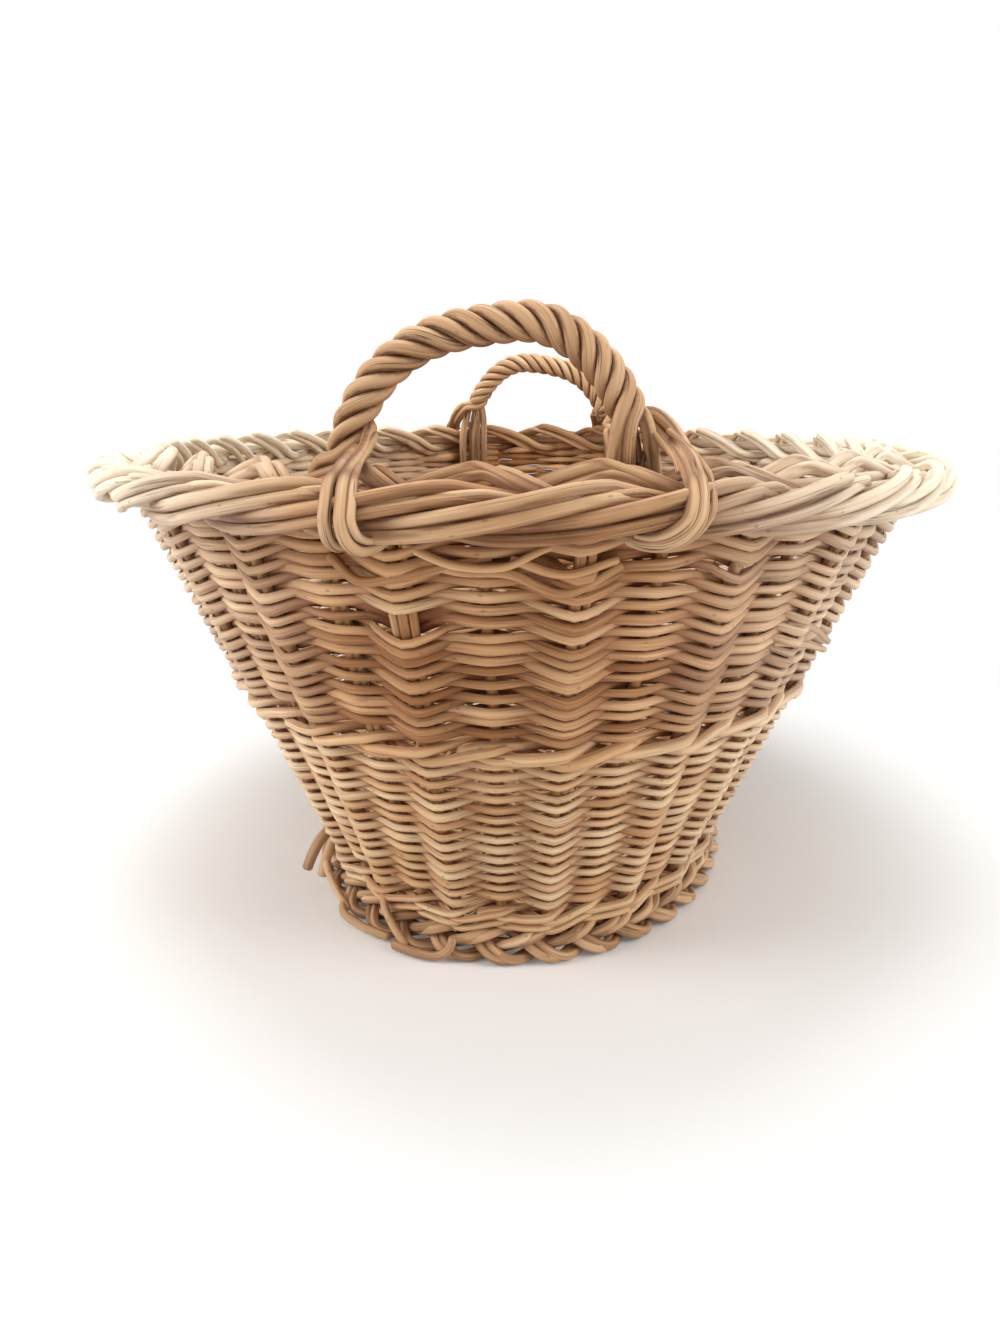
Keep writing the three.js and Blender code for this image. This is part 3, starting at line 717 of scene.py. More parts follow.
# Border: the stakes' ends laid down into a broad plait; each strand sweeps up the outside, kinks over
# the top, dips under its neighbours, comes up inside and kinks over again
borderBand = {
    "halfWidth": 0.2395, "halfLength": 0.3085, "middle": 0.2601,
    "strands": 5, "laps": 6,
    "rodRadius": 0.0028, "sides": 10, "steps": 1100,
    # share of one lap, out from the middle of the band, up from it, lean of a strand's rods in degrees
    "route": (
        (0.000, 0.0104, -0.0088, 90), (0.043, 0.0138, -0.0080, 90), (0.110, 0.0182, -0.0056, 90),
        (0.175, 0.0203, -0.0020, 90), (0.217, 0.0200, 0.0005, 92), (0.265, 0.0185, 0.0034, 98),
        (0.318, 0.0156, 0.0059, 118), (0.336, 0.0142, 0.0063, 126), (0.348, 0.0128, 0.0063, 132),
        (0.362, 0.0108, 0.0055, 136), (0.390, 0.0068, 0.0036, 138),
        (0.430, 0.0010, 0.0010, 138), (0.500, -0.0078, -0.0050, 138), (0.580, -0.0150, -0.0050, 138),
        (0.645, -0.0180, 0.0030, 140), (0.700, -0.0180, 0.0085, 142), (0.752, -0.0171, 0.0122, 146),
        (0.766, -0.0164, 0.0128, 146), (0.778, -0.0150, 0.0123, 146), (0.793, -0.0126, 0.0108, 144),
        (0.828, -0.0068, 0.0066, 138),
        (0.870, 0.0000, 0.0010, 125), (0.920, 0.0052, -0.0056, 105), (0.962, 0.0080, -0.0084, 92),
    ),
    # rods of a strand: ahead along the rim, off its middle, in from its outside, share of thickness
    "rods": ((0.0050, 0.0027, 0.0, 1.0), (0.0090, -0.0027, 0.0, 0.97), (0.0170, 0.0002, 0.0062, 0.80)),
    "core": ((0.0020, -0.0040), (-0.0090, 0.0030), (0.0100, -0.0050), (0.0085, 0.0010), (-0.0060, -0.0070)),
    "startLap": 0.50,  # where in a lap a strand starts and ends, under its neighbours
    "outside": (0.0, 0.06, 0.25, 0.34),  # shares of a lap where a strand comes outside and leaves it
    "swayOut": 0.0010, "outWaves": (11, 17, 23), "swayUp": 0.0014, "upWaves": (9, 16, 29),
    "girth": (0.99, 0.09), "girthSway": 0.10, "girthWaves": (5, 8, 13), "tone": (0.47, 0.20), "edging": 0.75,
    "coreRadius": 0.0040, "coreSides": 8, "coreSway": 0.001, "coreWaves": (4, 7),
    "coreTone": (0.42, 0.08), "coreDark": 0.5,
    # lines that hold the band's section: the way each faces, its distance from the middle
    "hull": ((1.0, 0.0, 0.0232), (0.218, 0.976, 0.0124), (-1.0, 0.0, 0.0214), (0.0, -1.0, 0.0135)),
    "grooveFrom": 0.0048, "grooveTo": 0.0095, "grooveBlend": 0.002,
}


def borderRoute(lap):
    keys = np.array(borderBand["route"])
    # a few points of the laps before and after carry the line on
    before, after = keys[-3:], keys[:3]
    knots = np.concatenate([before[:, 0] - 1, keys[:, 0], after[:, 0] + 1])
    values = np.concatenate([before[:, 1:], keys[:, 1:], after[:, 1:]])
    return smoothThrough(knots, values, np.mod(lap, 1.0))


def borderGroove(shares, out, up):
    # the way that a rod shows from outside, and the painted shade where it lies deep among its neighbours
    band = borderBand
    hull = np.array(band["hull"])
    depths = hull[:, 2] - out[:, None] * hull[:, 0] - up[:, None] * hull[:, 1]
    weights = np.exp(-(depths - depths.min(axis=1, keepdims=True)) / band["grooveBlend"])
    outWay, upWay = (weights @ hull[:, :2]).T
    _, _, outward = ovalWalk(band["halfWidth"], band["halfLength"], shares)
    shows = outward * outWay[:, None]
    shows[:, 2] = upWay
    return unit(shows), easeStep(band["grooveFrom"], band["grooveTo"], depths.min(axis=1))


def buildBorder():
    band = borderBand
    girth = ovalLength(band["halfWidth"], band["halfLength"])
    once = np.linspace(0, 1, band["steps"] + 1)
    names = ["border_strand_1", "border_strand_2", "border_strand_3"]
    bundles = [newBundle() for _ in names]
    comes, full, leaves, gone = band["outside"]
    for strand in range(band["strands"]):
        for ahead, off, inwards, girthShare in band["rods"]:
            hidden = (band["startLap"] - strand / band["strands"]) / band["laps"]
            shares = once + hidden + ahead / girth
            lap = band["laps"] * (once + hidden) + strand / band["strands"]
            out, up, lean = borderRoute(lap).T
            at = np.mod(lap, 1.0)
            outside = easeStep(comes, full, at) * (1 - easeStep(leaves, gone, at))
            out = out + off * np.cos(np.radians(lean)) - inwards * outside
            up = up + off * np.sin(np.radians(lean))
            out = out + sway(shares, 0, band["swayOut"], drawWaves(band["outWaves"]))
            up = up + sway(shares, 0, band["swayUp"], drawWaves(band["upWaves"]))
            thick = girthShare * luck.normal(*band["girth"])
            thick = thick * (1 + sway(shares, 0, band["girthSway"], drawWaves(band["girthWaves"])))
            spots = ringPlace(band, shares, out, up)
            outward, deep = borderGroove(shares, out, up)
            bundle = bundles[strand % len(bundles)]
            radius = band["rodRadius"] * thick
            tone = rodTone(*band["tone"])
            layRod(bundle, spots, radius, band["sides"], tone, deep, outward=outward, edging=band["edging"])
    # core rods fill the band and carry painted shade, so that the gaps between strands look dark
    for number, (out, up) in enumerate(band["core"]):
        bundle = bundles[number % len(bundles)]
        out = out + sway(once, 0, band["coreSway"], drawWaves(band["coreWaves"]))
        spots = ringPlace(band, once, out, np.full_like(once, up))
        tone = rodTone(*band["coreTone"])
        layRod(bundle, spots, band["coreRadius"], band["coreSides"], tone, band["coreDark"])
    for name, bundle in zip(names, bundles):
        makePiece(name, bundle, "border_willow")


# Foot: a three-strand plait of paired rods under the edge of the base, come loose at the left of the front
footPlait = {
    "halfWidth": 0.1315, "halfLength": 0.2005, "middle": 0.0098,
    "strands": 3, "laps": 13, "rodsEach": 2,
    "rodRadius": 0.0027, "rodApart": 0.0062, "reach": 0.0070, "depth": 0.0050, "lean": 0.35,
    "swayUp": 0.0011, "upWaves": (9, 15, 22), "swayOut": 0.0015, "outWaves": (5, 9, 14),
    "girthSway": 0.12, "girthWaves": (6, 11, 17), "sides": 9, "steps": 700,
    "tone": (0.5, 0.2), "dark": 0.25, "darkIn": 0.5, "edging": 0.7,
    "coreRadius": 0.0030, "coreIn": 0.002, "coreSides": 6, "coreTone": (0.2, 0.05), "coreDark": 1.0,
}
# loose rods: thickness and points in millimetres, along the ring from the front, out from it and up from it
looseFeet = (
    (2.6, ((-118, 6, -3), (-102.6, 14.5, -4.8), (-83.8, 13.2, -6), (-64.8, 10.2, -6))),
    (2.4, ((-74, 4, 16), (-69.5, 8, 12), (-61, 10.5, 4), (-51.7, 11, -5.5))),
    (2.7, ((-57.2, 13.5, -6.3), (-40.9, 13, -6.3), (-30.4, 11.4, -5), (-26, 10, -1), (-23.9, 9.8, 6))),
    (3.6, ((-152, 5, 27), (-147, 12, 24), (-144, 18, 17), (-142.5, 23, 7))),
    (3.4, ((-146, 3, 25), (-141, 8, 20), (-138, 12, 13), (-136, 15, 4))),
    (2.3, ((-145, 6, 17), (-136.7, 12, 12.2), (-123.6, 11.6, 2.2), (-105.1, 10.3, -5))),
)
looseFoot = {"taper": (1.0, 0.92), "sides": 9, "tone": (0.5, 0.12), "dark": 0.1}


def buildFoot():
    plait = footPlait
    girth = ovalLength(plait["halfWidth"], plait["halfLength"])
    shares = np.linspace(0, 1, plait["steps"] + 1)
    _, _, outward = ovalWalk(plait["halfWidth"], plait["halfLength"], shares)
    sides, edging = plait["sides"], plait["edging"]
    names = ["foot_strand_1", "foot_strand_2"]
    bundles = [newBundle() for _ in names]
    for strand in range(plait["strands"]):
        for rod in range(plait["rodsEach"]):
            lap = plait["laps"] * (shares - rod * plait["rodApart"] / girth) + strand / plait["strands"]
            turn = fullTurn * lap
            rise = plait["reach"] * np.sin(turn)
            proud = plait["depth"] * np.sin(2 * turn)
            up = rise + sway(shares, 0, plait["swayUp"], drawWaves(plait["upWaves"]))
            aside = sway(shares, 0, plait["swayOut"], drawWaves(plait["outWaves"]))
            out = proud - plait["lean"] * rise + aside
            thick = 1 + sway(shares, 0, plait["girthSway"], drawWaves(plait["girthWaves"]))
            radius = plait["rodRadius"] * thick
            lowest = radius - plait["middle"]
            spots = ringPlace(plait, shares, out, np.maximum(up, lowest))
            # painted shade where a rod lies back in the plait
            paintedShade = np.clip(plait["dark"] - plait["darkIn"] * proud / plait["depth"], 0, 1)
            tone = rodTone(*plait["tone"])
            bundle = bundles[strand % len(bundles)]
            layRod(bundle, spots, radius, sides, tone, paintedShade, outward=outward, edging=edging)
    # a dark core rod, all painted shade, closes the plait's middle so that nothing shows through
    core = ringPlace(plait, shares, np.full_like(shares, -plait["coreIn"]), np.zeros_like(shares))
    tone = rodTone(*plait["coreTone"])
    layRod(bundles[0], core, plait["coreRadius"], plait["coreSides"], tone, plait["coreDark"])
    for thickness, points in looseFeet:
        along, out, up = mm * np.array(points, float).T
        places = ringPlace(plait, along / girth, out, up)
        layLoose(bundles[1], smoothRoute(places, routes["loose"]), thickness, looseFoot)
    for name, bundle in zip(names, bundles):
        makePiece(name, bundle, "foot_willow")


# Base: sticks splayed out from a tied core, with a close weave wound round them
baseMat = {
    "middle": 0.0210, "coreHalfWidth": 0.026, "coreHalfLength": 0.098,
    "edgeHalfWidth": 0.1195, "edgeHalfLength": 0.1885,
    # sticks start inside the core and end past the edge, in shares of the way between the two ovals
    "sticks": 21, "stickRadius": 0.0033, "stickFrom": -0.30, "stickTo": 1.085, "stickPoints": 14,
    "stickSway": 0.0003, "stickWaves": (1, 2), "stickSides": 8, "stickTone": 0.42,
    "coreRods": 8, "coreSpread": 0.9, "corePoints": 24, "coreRise": 0.00078, "coreBends": 12,
    "coreTone": 0.45,
    "ties": 25, "tieSpread": 0.93, "tiePast": 0.004, "tiePoints": 40, "tieRise": 0.0045, "tieSides": 6,
    "weaveRows": 22, "weaveRods": (14, 26), "weaveOverlap": 0.3, "weaveSteps": 10, "weaveFrom": 0.015,
    "weaveRadius": 0.0019, "weaveGirth": (1.0, 0.08), "weaveSides": 7, "swing": 0.0044,
    "weaveUneven": 0.003, "weaveWaves": (2, 3, 5),
    # painted shade on the base, and more where the weave goes under a stick
    "tone": 0.5, "dark": 0.3, "darkOver": 0.25, "darkUnder": 0.25,
}


def basePlace(shares, parts, ups):
    shares, parts, ups = np.broadcast_arrays(shares, parts, ups)
    inner, _, _ = ovalWalk(baseMat["coreHalfWidth"], baseMat["coreHalfLength"], shares)
    outer, _, _ = ovalWalk(baseMat["edgeHalfWidth"], baseMat["edgeHalfLength"], shares)
    spot = inner + (outer - inner) * parts[..., None]
    spot[..., 2] = baseMat["middle"] + ups
    return spot


def buildBase():
    mat = baseMat
    sticks = newBundle()
    for i in range(mat["sticks"]):
        parts = np.linspace(mat["stickFrom"], mat["stickTo"], mat["stickPoints"])
        rise = sway(parts, i, mat["stickSway"], drawWaves(mat["stickWaves"]))
        spots = basePlace(i / mat["sticks"], parts, rise)
        layRod(sticks, spots, mat["stickRadius"], mat["stickSides"], rodTone(mat["stickTone"]), mat["dark"])
    for i in range(mat["coreRods"]):
        aside = (i / (mat["coreRods"] - 1) - 0.5) * 2
        reach = mat["coreHalfLength"] * math.sqrt(1 - (mat["coreSpread"] * aside) ** 2)
        y = np.linspace(-reach, reach, mat["corePoints"])
        x = np.full_like(y, aside * mat["coreHalfWidth"] * mat["coreSpread"])
        turn = y / mat["coreHalfLength"] * math.pi * mat["coreBends"] + math.pi * i
        z = mat["middle"] + mat["coreRise"] * np.cos(turn)
        spots = np.stack([x, y, z], -1)
        layRod(sticks, spots, mat["stickRadius"], mat["stickSides"], rodTone(mat["coreTone"]), mat["dark"])
    makePiece("base_sticks", sticks, "base_willow")

    weave = newBundle()
    for i in range(mat["ties"]):
        y = (i / (mat["ties"] - 1) - 0.5) * 2 * mat["coreHalfLength"] * mat["tieSpread"]
        reach = mat["coreHalfWidth"] * math.sqrt(1 - (y / mat["coreHalfLength"]) ** 2) + mat["tiePast"]
        x = np.linspace(-reach, reach, mat["tiePoints"])
        crossed = x / mat["coreHalfWidth"] / mat["coreSpread"] * (mat["coreRods"] - 1) / 2
        turn = math.pi * (crossed + i)
        z = mat["middle"] + mat["tieRise"] * np.cos(turn)
        spots = np.stack([x, np.full_like(x, y), z], -1)
        layRod(weave, spots, mat["weaveRadius"], mat["tieSides"], rodTone(mat["tone"]), mat["dark"])
    total = mat["weaveRows"] * mat["sticks"]
    start = 0
    waves = drawWaves(mat["weaveWaves"])
    while start < total - 2:
        end = min(start + int(luck.integers(*mat["weaveRods"])), total)
        q = np.arange(start - mat["weaveOverlap"], end + mat["weaveOverlap"], 1 / mat["weaveSteps"])
        parts = mat["weaveFrom"] + (1 - mat["weaveFrom"]) * q / total
        wave = np.cos(math.pi * q)
        parts = parts + sway(q / mat["sticks"], 0, mat["weaveUneven"], waves)
        spots = basePlace(q / mat["sticks"], parts, mat["swing"] * wave)
        radius = mat["weaveRadius"] * luck.normal(*mat["weaveGirth"])
        dark = mat["darkOver"] + mat["darkUnder"] * (wave < 0)
        layRod(weave, spots, radius, mat["weaveSides"], rodTone(mat["tone"]), dark)
        start = end
    makePiece("base_weave", weave, "base_willow")


# Handles: a bow whose legs go down inside the wall, roped with four stout rods and two thin ones; their
# ends go down behind the border, or over it and hook in under it
handleRope = {
    "spread": 0.143, "rise": 0.070, "squareness": 2.3, "inset": 0.0166,
    "ropeFrom": 0.015, "turnsFrom": 0.0, "turns": 4.29, "turnsTo": 0.0355,
    "tighten": 0.06, "tightenPower": 5,
    # turn round the bow, radius and distance from it of each rod: four stout ones, two hidden among them
    "rods": (
        (0.0, 0.0013, 0.0026), (0.125, 0.0031, 0.0055), (0.375, 0.0030, 0.0055),
        (0.625, 0.0031, 0.0055), (0.750, 0.0012, 0.0026), (0.875, 0.0030, 0.0055),
    ),
    "girth": (0.96, 1.05), "girthSway": 0.05, "girthWaves": (7, 12, 19), "sides": 12, "tone": (0.53, 0.12),
    "tailWithin": 0.01, "tailPast": 0.05,  # a tail changes its thickness mostly after it leaves the rope
    "archPoints": 400, "pathPoints": 240, "coilEvery": 3, "middlePoints": 90,
    # the bow carries painted shade, as it shows only deep in the rope's grooves
    "bowRadius": 0.0022, "bowPoints": 40, "bowSides": 8, "bowTone": 0.3, "bowDark": 0.7,
    # legs: above the rope's start, past the border, then down inside the wall
    "legTop": 0.004, "legPastIn": 0.001, "legPastDown": 0.005,
    "legFrom": 0.012, "legDepth": 0.058, "legPoints": 6, "legIn": 0.0110,
    # the arch leans to its right, and its right shoulder is fuller
    "lean": 0.003, "shoulder": 0.0035, "shoulderAt": 0.66, "shoulderWidth": 0.17,
}
# tails of the six rods in millimetres: along the rim from the handle's middle, out from the middle of the
# border and up from it; before them the height at which the rod leaves the rope and its share of thickness
leftTails = (
    # thin rod over the border, that hooks along under it
    (27, 1.45, ((-57.2, -26, 26.5), (-55.5, -18, 21.5), (-53, -6, 16.5), (-49, 6, 12.6),
                (-45.6, 15.5, 9.3), (-43.6, 21.8, 3), (-42.4, 25.4, -4.5), (-41.4, 23.5, -9),
                (-40.5, 18.5, -11.5), (-38, 11, -12), (-36, 3, -11))),
    # brown rods behind the border
    (19, 0.97, ((-82.5, -31, 13), (-85, -30.5, 7), (-86, -30, 0), (-85, -30.5, -20))),
    (19, 0.92, ((-76, -33, 12), (-77, -32, 2), (-76.5, -32, -22))),
    # stout rod that goes off sideways and down behind the border
    (18, 1.03, ((-85.5, -21.5, 14.6), (-90, -23.5, 11), (-92.5, -25, 6), (-93.5, -26, -3),
                (-92.5, -27.5, -20))),
    # over the border and down its face, ending in under it
    (24, 2.2, ((-63.2, -20, 21), (-61.2, -11, 18), (-59.4, -3.5, 16), (-57.2, 6, 12.7), (-55.3, 15.5, 9.5),
                (-53.5, 22, 3), (-52.5, 25.8, -5), (-52.4, 24, -10.5), (-52.3, 18, -14.2), (-51.8, 9, -14),
                (-51, 1, -12))),
    # stout rod over the border beside the first
    (32, 0.90, ((-60.4, -28, 29.5), (-59, -23.5, 25), (-56.7, -15.5, 20.2), (-54.8, -6, 16.7),
                (-52.2, 6, 12.7), (-49.4, 15.5, 9.5), (-47.4, 22, 3), (-46.1, 26, -5),
                (-44.9, 24.5, -11.5), (-43, 20, -15.2), (-40.5, 13, -15.5), (-38, 4, -13))),
)
rightTails = (
    # the broad loop over the border's face, turning back under it
    (38, 2.15, ((85.1, -28.5, 35), (88.2, -24, 31.5), (89.7, -17, 26), (88.8, -8, 20), (87, -1, 16.8),
               (84.2, 7, 13.2), (81, 16, 9.8), (78.5, 22.5, 3.5), (75.5, 26, -4), (71.3, 24.2, -9.8),
               (66.5, 19.5, -13.2), (61, 13.5, -13.6), (57.5, 6, -12.5))),
    # rods that go down behind the border
    (34, 1.0, ((78.2, -24, 28), (79.4, -24, 22.5), (82.3, -25.5, 15.1), (84.3, -27, 6), (84.3, -28, -20))),
    (33, 1.0, ((67.6, -22, 28), (67.3, -22.5, 22), (68.3, -24.5, 14), (69.5, -27, 5), (69.5, -28, -20))),
    (40, 1.0, ((62.9, -22.8, 33.5), (61.2, -23, 26), (60.8, -25, 16), (61.4, -27, 6), (61.5, -28, -20))),
    (27, 2.0, ((72, -32, 20), (74, -32, 10), (74, -32, -20))),
    # inner rod of the loop
    (33, 0.86, ((83.5, -31, 31.5), (86.3, -27, 27.5), (86.8, -18.5, 22.5), (84.3, -6, 17.2),
                (81.5, 3, 14.2), (79, 10, 11.8), (76.6, 17, 8.9), (74.6, 22.8, 3),
                (71.8, 25.4, -3.5), (68, 23.5, -7.8), (63.5, 18.5, -10.4), (59.5, 10, -10.5))),
)
# thin rods that lie along the broad loop: thickness, then their way, in millimetres
looseRods = (
    (1.25, ((85.5, -19, 28.5), (89, -9, 22.5), (89.2, 3, 15.8), (86.6, 13, 11.8), (83.6, 21.3, 6.2),
            (80.6, 26.5, -1.2), (77.7, 25.2, -7), (74.2, 20, -12.5), (69.5, 14, -15.6), (65, 8, -15.6),
            (61, 2, -14))),
    (1.2, ((79.5, -21, 27), (82.2, -12, 20), (80.4, -3, 16), (77.6, 4, 13))),
)
looseRope = {"taper": (1.1, 0.8), "sides": 8, "tone": (0.45, 0.1), "dark": 0.2}


def legShare(side):
    # where on the rim a leg of the front bow stands, -1 for the left one and 1 for the right one
    return side * handleRope["spread"] / 2 / ovalLength(rimHalfWidth, rimHalfLength)


def besideRim(side, out, up):
    spot, _, outward = ovalWalk(rimHalfWidth, rimHalfLength, np.array([legShare(side)]))
    place = spot[0] + outward[0] * out
    place[2] = borderBand["middle"] + up
    return place


def squarer(x):
    return np.sign(x) * np.abs(x) ** (2 / handleRope["squareness"])


def bowPath(count):
    left = besideRim(-1, -handleRope["inset"], 0)
    right = besideRim(1, -handleRope["inset"], 0)
    angle = np.linspace(0, math.pi, handleRope["archPoints"])
    part = (1 - squarer(np.cos(angle))) / 2
    points = left + (right - left) * part[:, None]
    points[:, 2] += handleRope["rise"] * squarer(np.sin(angle))
    points += unit(right - left) * (handleRope["lean"] * np.sin(angle) ** 2)[:, None]
    shoulder = np.exp(-(((part - handleRope["shoulderAt"]) / handleRope["shoulderWidth"]) ** 2))
    points[:, 2] += handleRope["shoulder"] * shoulder * np.sin(angle)
    points = points[points[:, 2] > borderBand["middle"] + handleRope["ropeFrom"]]
    walked = np.concatenate([[0.0], np.cumsum(np.linalg.norm(np.diff(points, axis=0), axis=1))])
    at = np.linspace(0, walked[-1], count)
    return np.stack([np.interp(at, walked, points[:, k]) for k in range(3)], -1)


def tailPoints(points):
    along, out, up = mm * np.array(points, float).T
    girth = ovalLength(borderBand["halfWidth"], borderBand["halfLength"])
    return ringPlace(borderBand, along / girth, out, up)


def ropeRod(number):
    rope = handleRope
    path = bowPath(rope["pathPoints"])
    travel = unit(np.gradient(path, axis=0))
    backward = np.array([0.0, 1.0, 0.0])
    sideways = unit(np.cross(backward, travel))
    up = path[:, 2] - borderBand["middle"]
    half = len(path) // 2
    # the twist is counted to a height on the right leg, and tightens towards it
    part = np.arange(len(path)) / (half + np.argmax(up[half:] < rope["turnsTo"]))
    wound = (1 - rope["tighten"]) * part + rope["tighten"] * part ** rope["tightenPower"]
    twist = rope["turnsFrom"] + rope["turns"] * wound
    ahead, _, offset = rope["rods"][number]
    turn = fullTurn * (twist + ahead)
    radial = sideways * np.cos(turn)[:, None] + backward * np.sin(turn)[:, None]
    coil = path + offset * radial
    leftLeave, leftGirth, left = leftTails[number]
    rightLeave, rightGirth, right = rightTails[number]
    # the rod is on the rope from the height where its first tail leaves to that of its second
    first = int(np.argmax(up > mm * leftLeave))
    last = half + int(np.argmax(up[half:] < mm * rightLeave))
    coil = coil[first:last:rope["coilEvery"]]
    route = np.vstack([tailPoints(left)[::-1], coil, tailPoints(right)])
    walked = np.concatenate([[0.0], np.cumsum(np.linalg.norm(np.diff(route, axis=0), axis=1))])
    begin = walked[len(left)] / walked[-1]
    end = walked[len(left) + len(coil) - 1] / walked[-1]
    spots = smoothRoute(route, routes["rope"])
    at = np.linspace(0, 1, len(spots))
    within, past = rope["tailWithin"], rope["tailPast"]
    girth = leftGirth + (1 - leftGirth) * easeStep(begin - past, begin + within, at)
    girth = girth + (rightGirth - 1) * easeStep(end - within, end + past, at)
    return spots, girth


def turnHalf(spots, back):
    # the back handle is the front one turned half round
    return spots * np.array([-1.0, -1.0, 1.0]) if back else spots


def legRoute(side):
    rope = handleRope
    top = besideRim(side, -rope["inset"], rope["ropeFrom"] + rope["legTop"])
    past = besideRim(side, -rope["inset"] - rope["legPastIn"], -rope["legPastDown"])
    depths = np.linspace(rope["legFrom"], rope["legDepth"], rope["legPoints"])
    down, _ = wallPlace(legShare(side), wall["height"] - depths, -rope["legIn"])
    return np.vstack([top, past, down])


def buildHandle(name, back):
    rope = handleRope
    bow = newBundle()
    path = np.vstack([legRoute(-1)[::-1], bowPath(rope["bowPoints"]), legRoute(1)])
    spots = turnHalf(smoothRoute(path, routes["bow"]), back)
    layRod(bow, spots, rope["bowRadius"], rope["bowSides"], rodTone(rope["bowTone"]), rope["bowDark"])
    makePiece(f"{name}_handle_bow", bow, "handle_willow")
    middleLine = turnHalf(bowPath(rope["middlePoints"]), back)
    bundles = [newBundle(), newBundle()]
    for number, (_, thickness, _) in enumerate(rope["rods"]):
        spots, girth = ropeRod(number)
        spots = turnHalf(spots, back)
        radius = thickness * girth * luck.uniform(*rope["girth"])
        waves = drawWaves(rope["girthWaves"])
        radius = radius * (1 + sway(np.linspace(0, 1, len(spots)), number, rope["girthSway"], waves))
        # painted shade along each rope rod's edges and underside, by the way it faces out from the bow
        apart = spots[:, None] - middleLine
        nearest = np.argmin(np.sum(apart**2, -1), axis=1)
        outward = unit(spots - middleLine[nearest])
        bundle = bundles[number % len(bundles)]
        layRod(bundle, spots, radius, rope["sides"], rodTone(*rope["tone"]), outward=outward)
    for thickness, points in looseRods:
        spots = turnHalf(smoothRoute(tailPoints(points), routes["loose"]), back)
        layLoose(bundles[0], spots, thickness, looseRope)
    for rod, bundle in enumerate(bundles):
        makePiece(f"{name}_handle_rope_{rod + 1}", bundle, "handle_willow")


buildWall()
buildBorder()
buildFoot()
buildBase()
buildHandle("front", False)
buildHandle("back", True)


# Stage: a pale floor, soft light from above and the sides, a white surround
stage = {
    "floorSize": 14.0,
    "floorColour": (0.985, 0.99, 0.995),
    "floorBounce": (0.86, 0.86, 0.87),
    "fadeFrom": 0.10,
    "fadeTo": 0.75,
    "floorRoughness": 0.9,
    "floorSpecular": 0.1,
    "worldColour": (1.0, 0.985, 0.96),
    "worldStrength": 0.30,
    "lampColour": (1.0, 0.98, 0.955),
}


def shownRays(tree):
    # 1 for what is looked at, straight or in a gloss, 0 for light that bounces
    rays = tree.nodes.new("ShaderNodeLightPath").outputs
    looked = mathNode(tree, "MAXIMUM", rays["Is Camera Ray"], rays["Is Glossy Ray"])
    return mathNode(tree, "MAXIMUM", looked, rays["Is Transmission Ray"])


def buildFloor():
    bpy.ops.object.select_all(action="DESELECT")
    bpy.ops.mesh.primitive_plane_add(size=stage["floorSize"], location=(0, 0, 0))
    floor = bpy.context.object
    floor.name = "studio_floor"
    material = bpy.data.materials.new("studioFloor")
    material.use_nodes = True
    tree = material.node_tree
    shader = tree.nodes["Principled BSDF"]
    shader.inputs["Roughness"].default_value = stage["floorRoughness"]
    shader.inputs["Specular IOR Level"].default_value = stage["floorSpecular"]
    glow = tree.nodes.new("ShaderNodeEmission")
    glow.inputs["Strength"].default_value = 1.0
    distance = tree.nodes.new("ShaderNodeVectorMath")
    distance.operation = "LENGTH"
    tree.links.new(tree.nodes.new("ShaderNodeTexCoord").outputs["Object"], distance.inputs[0])
    fade = tree.nodes.new("ShaderNodeMapRange")
    fade.interpolation_type = "SMOOTHSTEP"
    fade.inputs["From Min"].default_value = stage["fadeFrom"]
    fade.inputs["From Max"].default_value = stage["fadeTo"]
    tree.links.new(distance.outputs["Value"], fade.inputs["Value"])
    seen = shownRays(tree)
    colour = mixColour(tree, seen, stage["floorBounce"], stage["floorColour"])
    tree.links.new(colour, shader.inputs["Base Color"])
    mix = tree.nodes.new("ShaderNodeMixShader")
    tree.links.new(mathNode(tree, "MULTIPLY", fade.outputs[0], seen), mix.inputs[0])
    tree.links.new(shader.outputs[0], mix.inputs[1])
    tree.links.new(glow.outputs[0], mix.inputs[2])
    tree.links.new(mix.outputs[0], tree.nodes["Material Output"].inputs["Surface"])
    floor.data.materials.append(material)


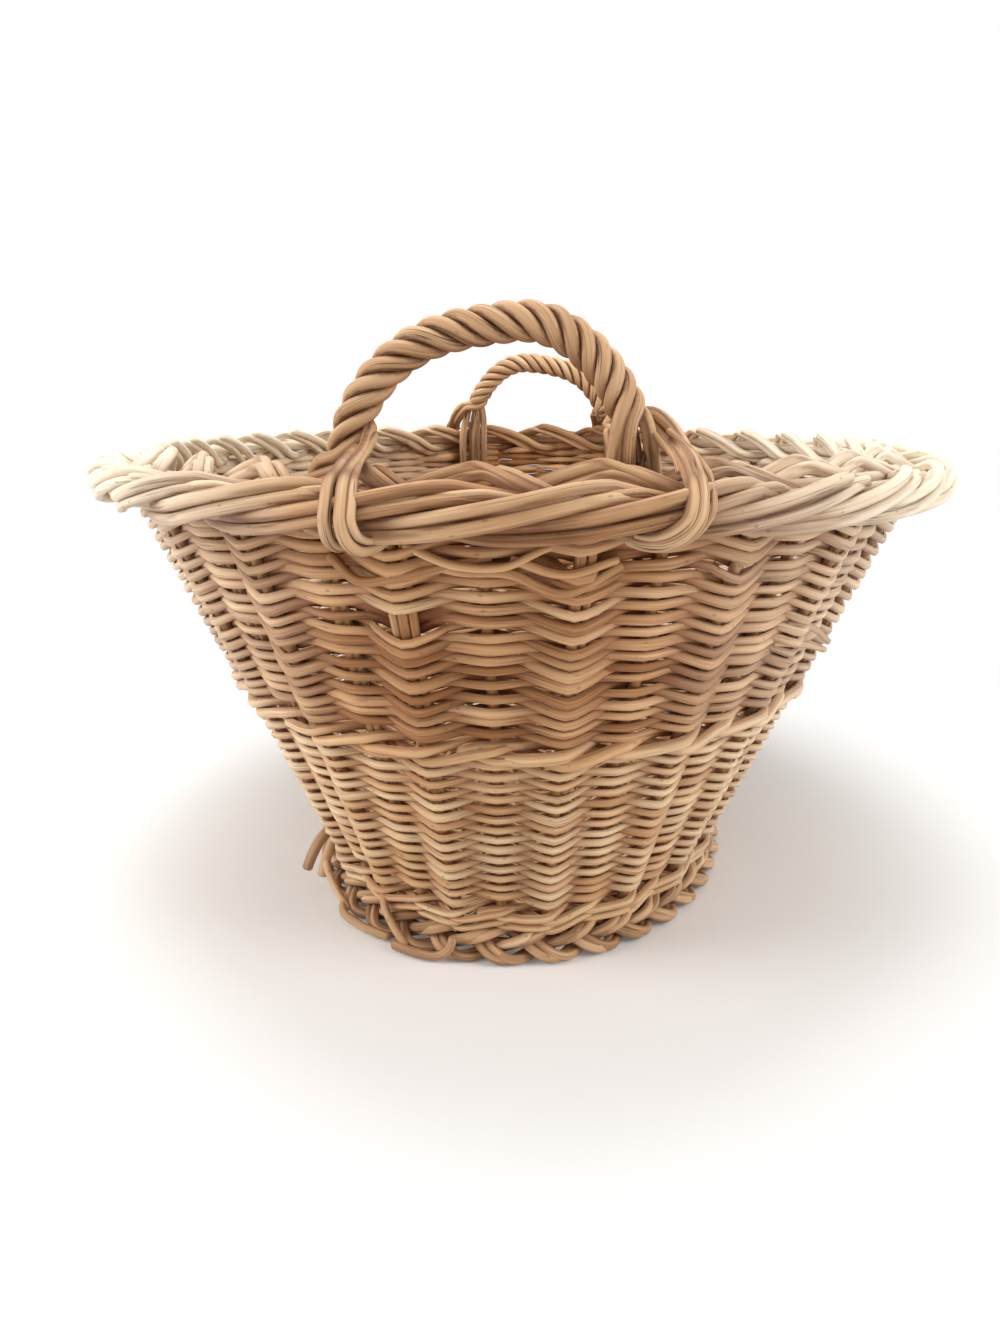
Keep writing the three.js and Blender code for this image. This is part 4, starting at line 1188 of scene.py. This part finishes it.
def buildWorld():
    world = bpy.data.worlds.new("studioWorld")
    bpy.context.scene.world = world
    world.use_nodes = True
    tree = world.node_tree
    light = tree.nodes["Background"]
    light.inputs["Color"].default_value = (*stage["worldColour"], 1.0)
    light.inputs["Strength"].default_value = stage["worldStrength"]
    white = tree.nodes.new("ShaderNodeBackground")
    white.inputs["Color"].default_value = (1.0, 1.0, 1.0, 1.0)
    mix = tree.nodes.new("ShaderNodeMixShader")
    tree.links.new(shownRays(tree), mix.inputs[0])
    tree.links.new(light.outputs[0], mix.inputs[1])
    tree.links.new(white.outputs[0], mix.inputs[2])
    tree.links.new(mix.outputs[0], tree.nodes["World Output"].inputs["Surface"])


softLights = (
    # name, place, aim, size, watts
    ("topSoftbox", (-0.10, 0.10, 1.55), (0.0, 0.0, 0.2), 1.0, 20.0),
    ("leftSoftbox", (-1.25, -0.55, 0.75), (0.0, 0.0, 0.2), 0.8, 13.5),
    ("rightSoftbox", (1.25, -0.55, 0.75), (0.0, 0.0, 0.2), 0.8, 11.0),
    ("frontFill", (0.0, -1.7, 0.32), (0.0, 0.0, 0.10), 1.2, 4.2),
)


def buildLights():
    for name, place, aim, size, watts in softLights:
        bpy.ops.object.light_add(type="AREA", location=place)
        lamp = bpy.context.object
        lamp.name = name
        lamp.data.size = size
        lamp.data.energy = watts
        lamp.data.color = stage["lampColour"]
        lamp.rotation_euler = (Vector(aim) - Vector(place)).to_track_quat("-Z", "Y").to_euler()


# Camera: set by the photograph's perspective of the rim and foot
view = {
    "place": (0.0383, -0.722, 0.302),
    "look": (-0.075, 0.997),
    "pitch": 14.3,
    "lens": 28.42,
    "sensor": 36.0,
}


def buildCamera():
    bpy.ops.object.camera_add(location=view["place"])
    camera = bpy.context.object
    pitch = math.radians(view["pitch"])
    x, y = view["look"]
    aim = Vector((x * math.cos(pitch), y * math.cos(pitch), -math.sin(pitch)))
    camera.rotation_euler = aim.to_track_quat("-Z", "Y").to_euler()
    camera.data.lens = view["lens"]
    camera.data.sensor_width = view["sensor"]
    bpy.context.scene.camera = camera


buildFloor()
buildWorld()
buildLights()
buildCamera()
bpy.context.scene.view_settings.view_transform = "Standard"
print("stage ready")
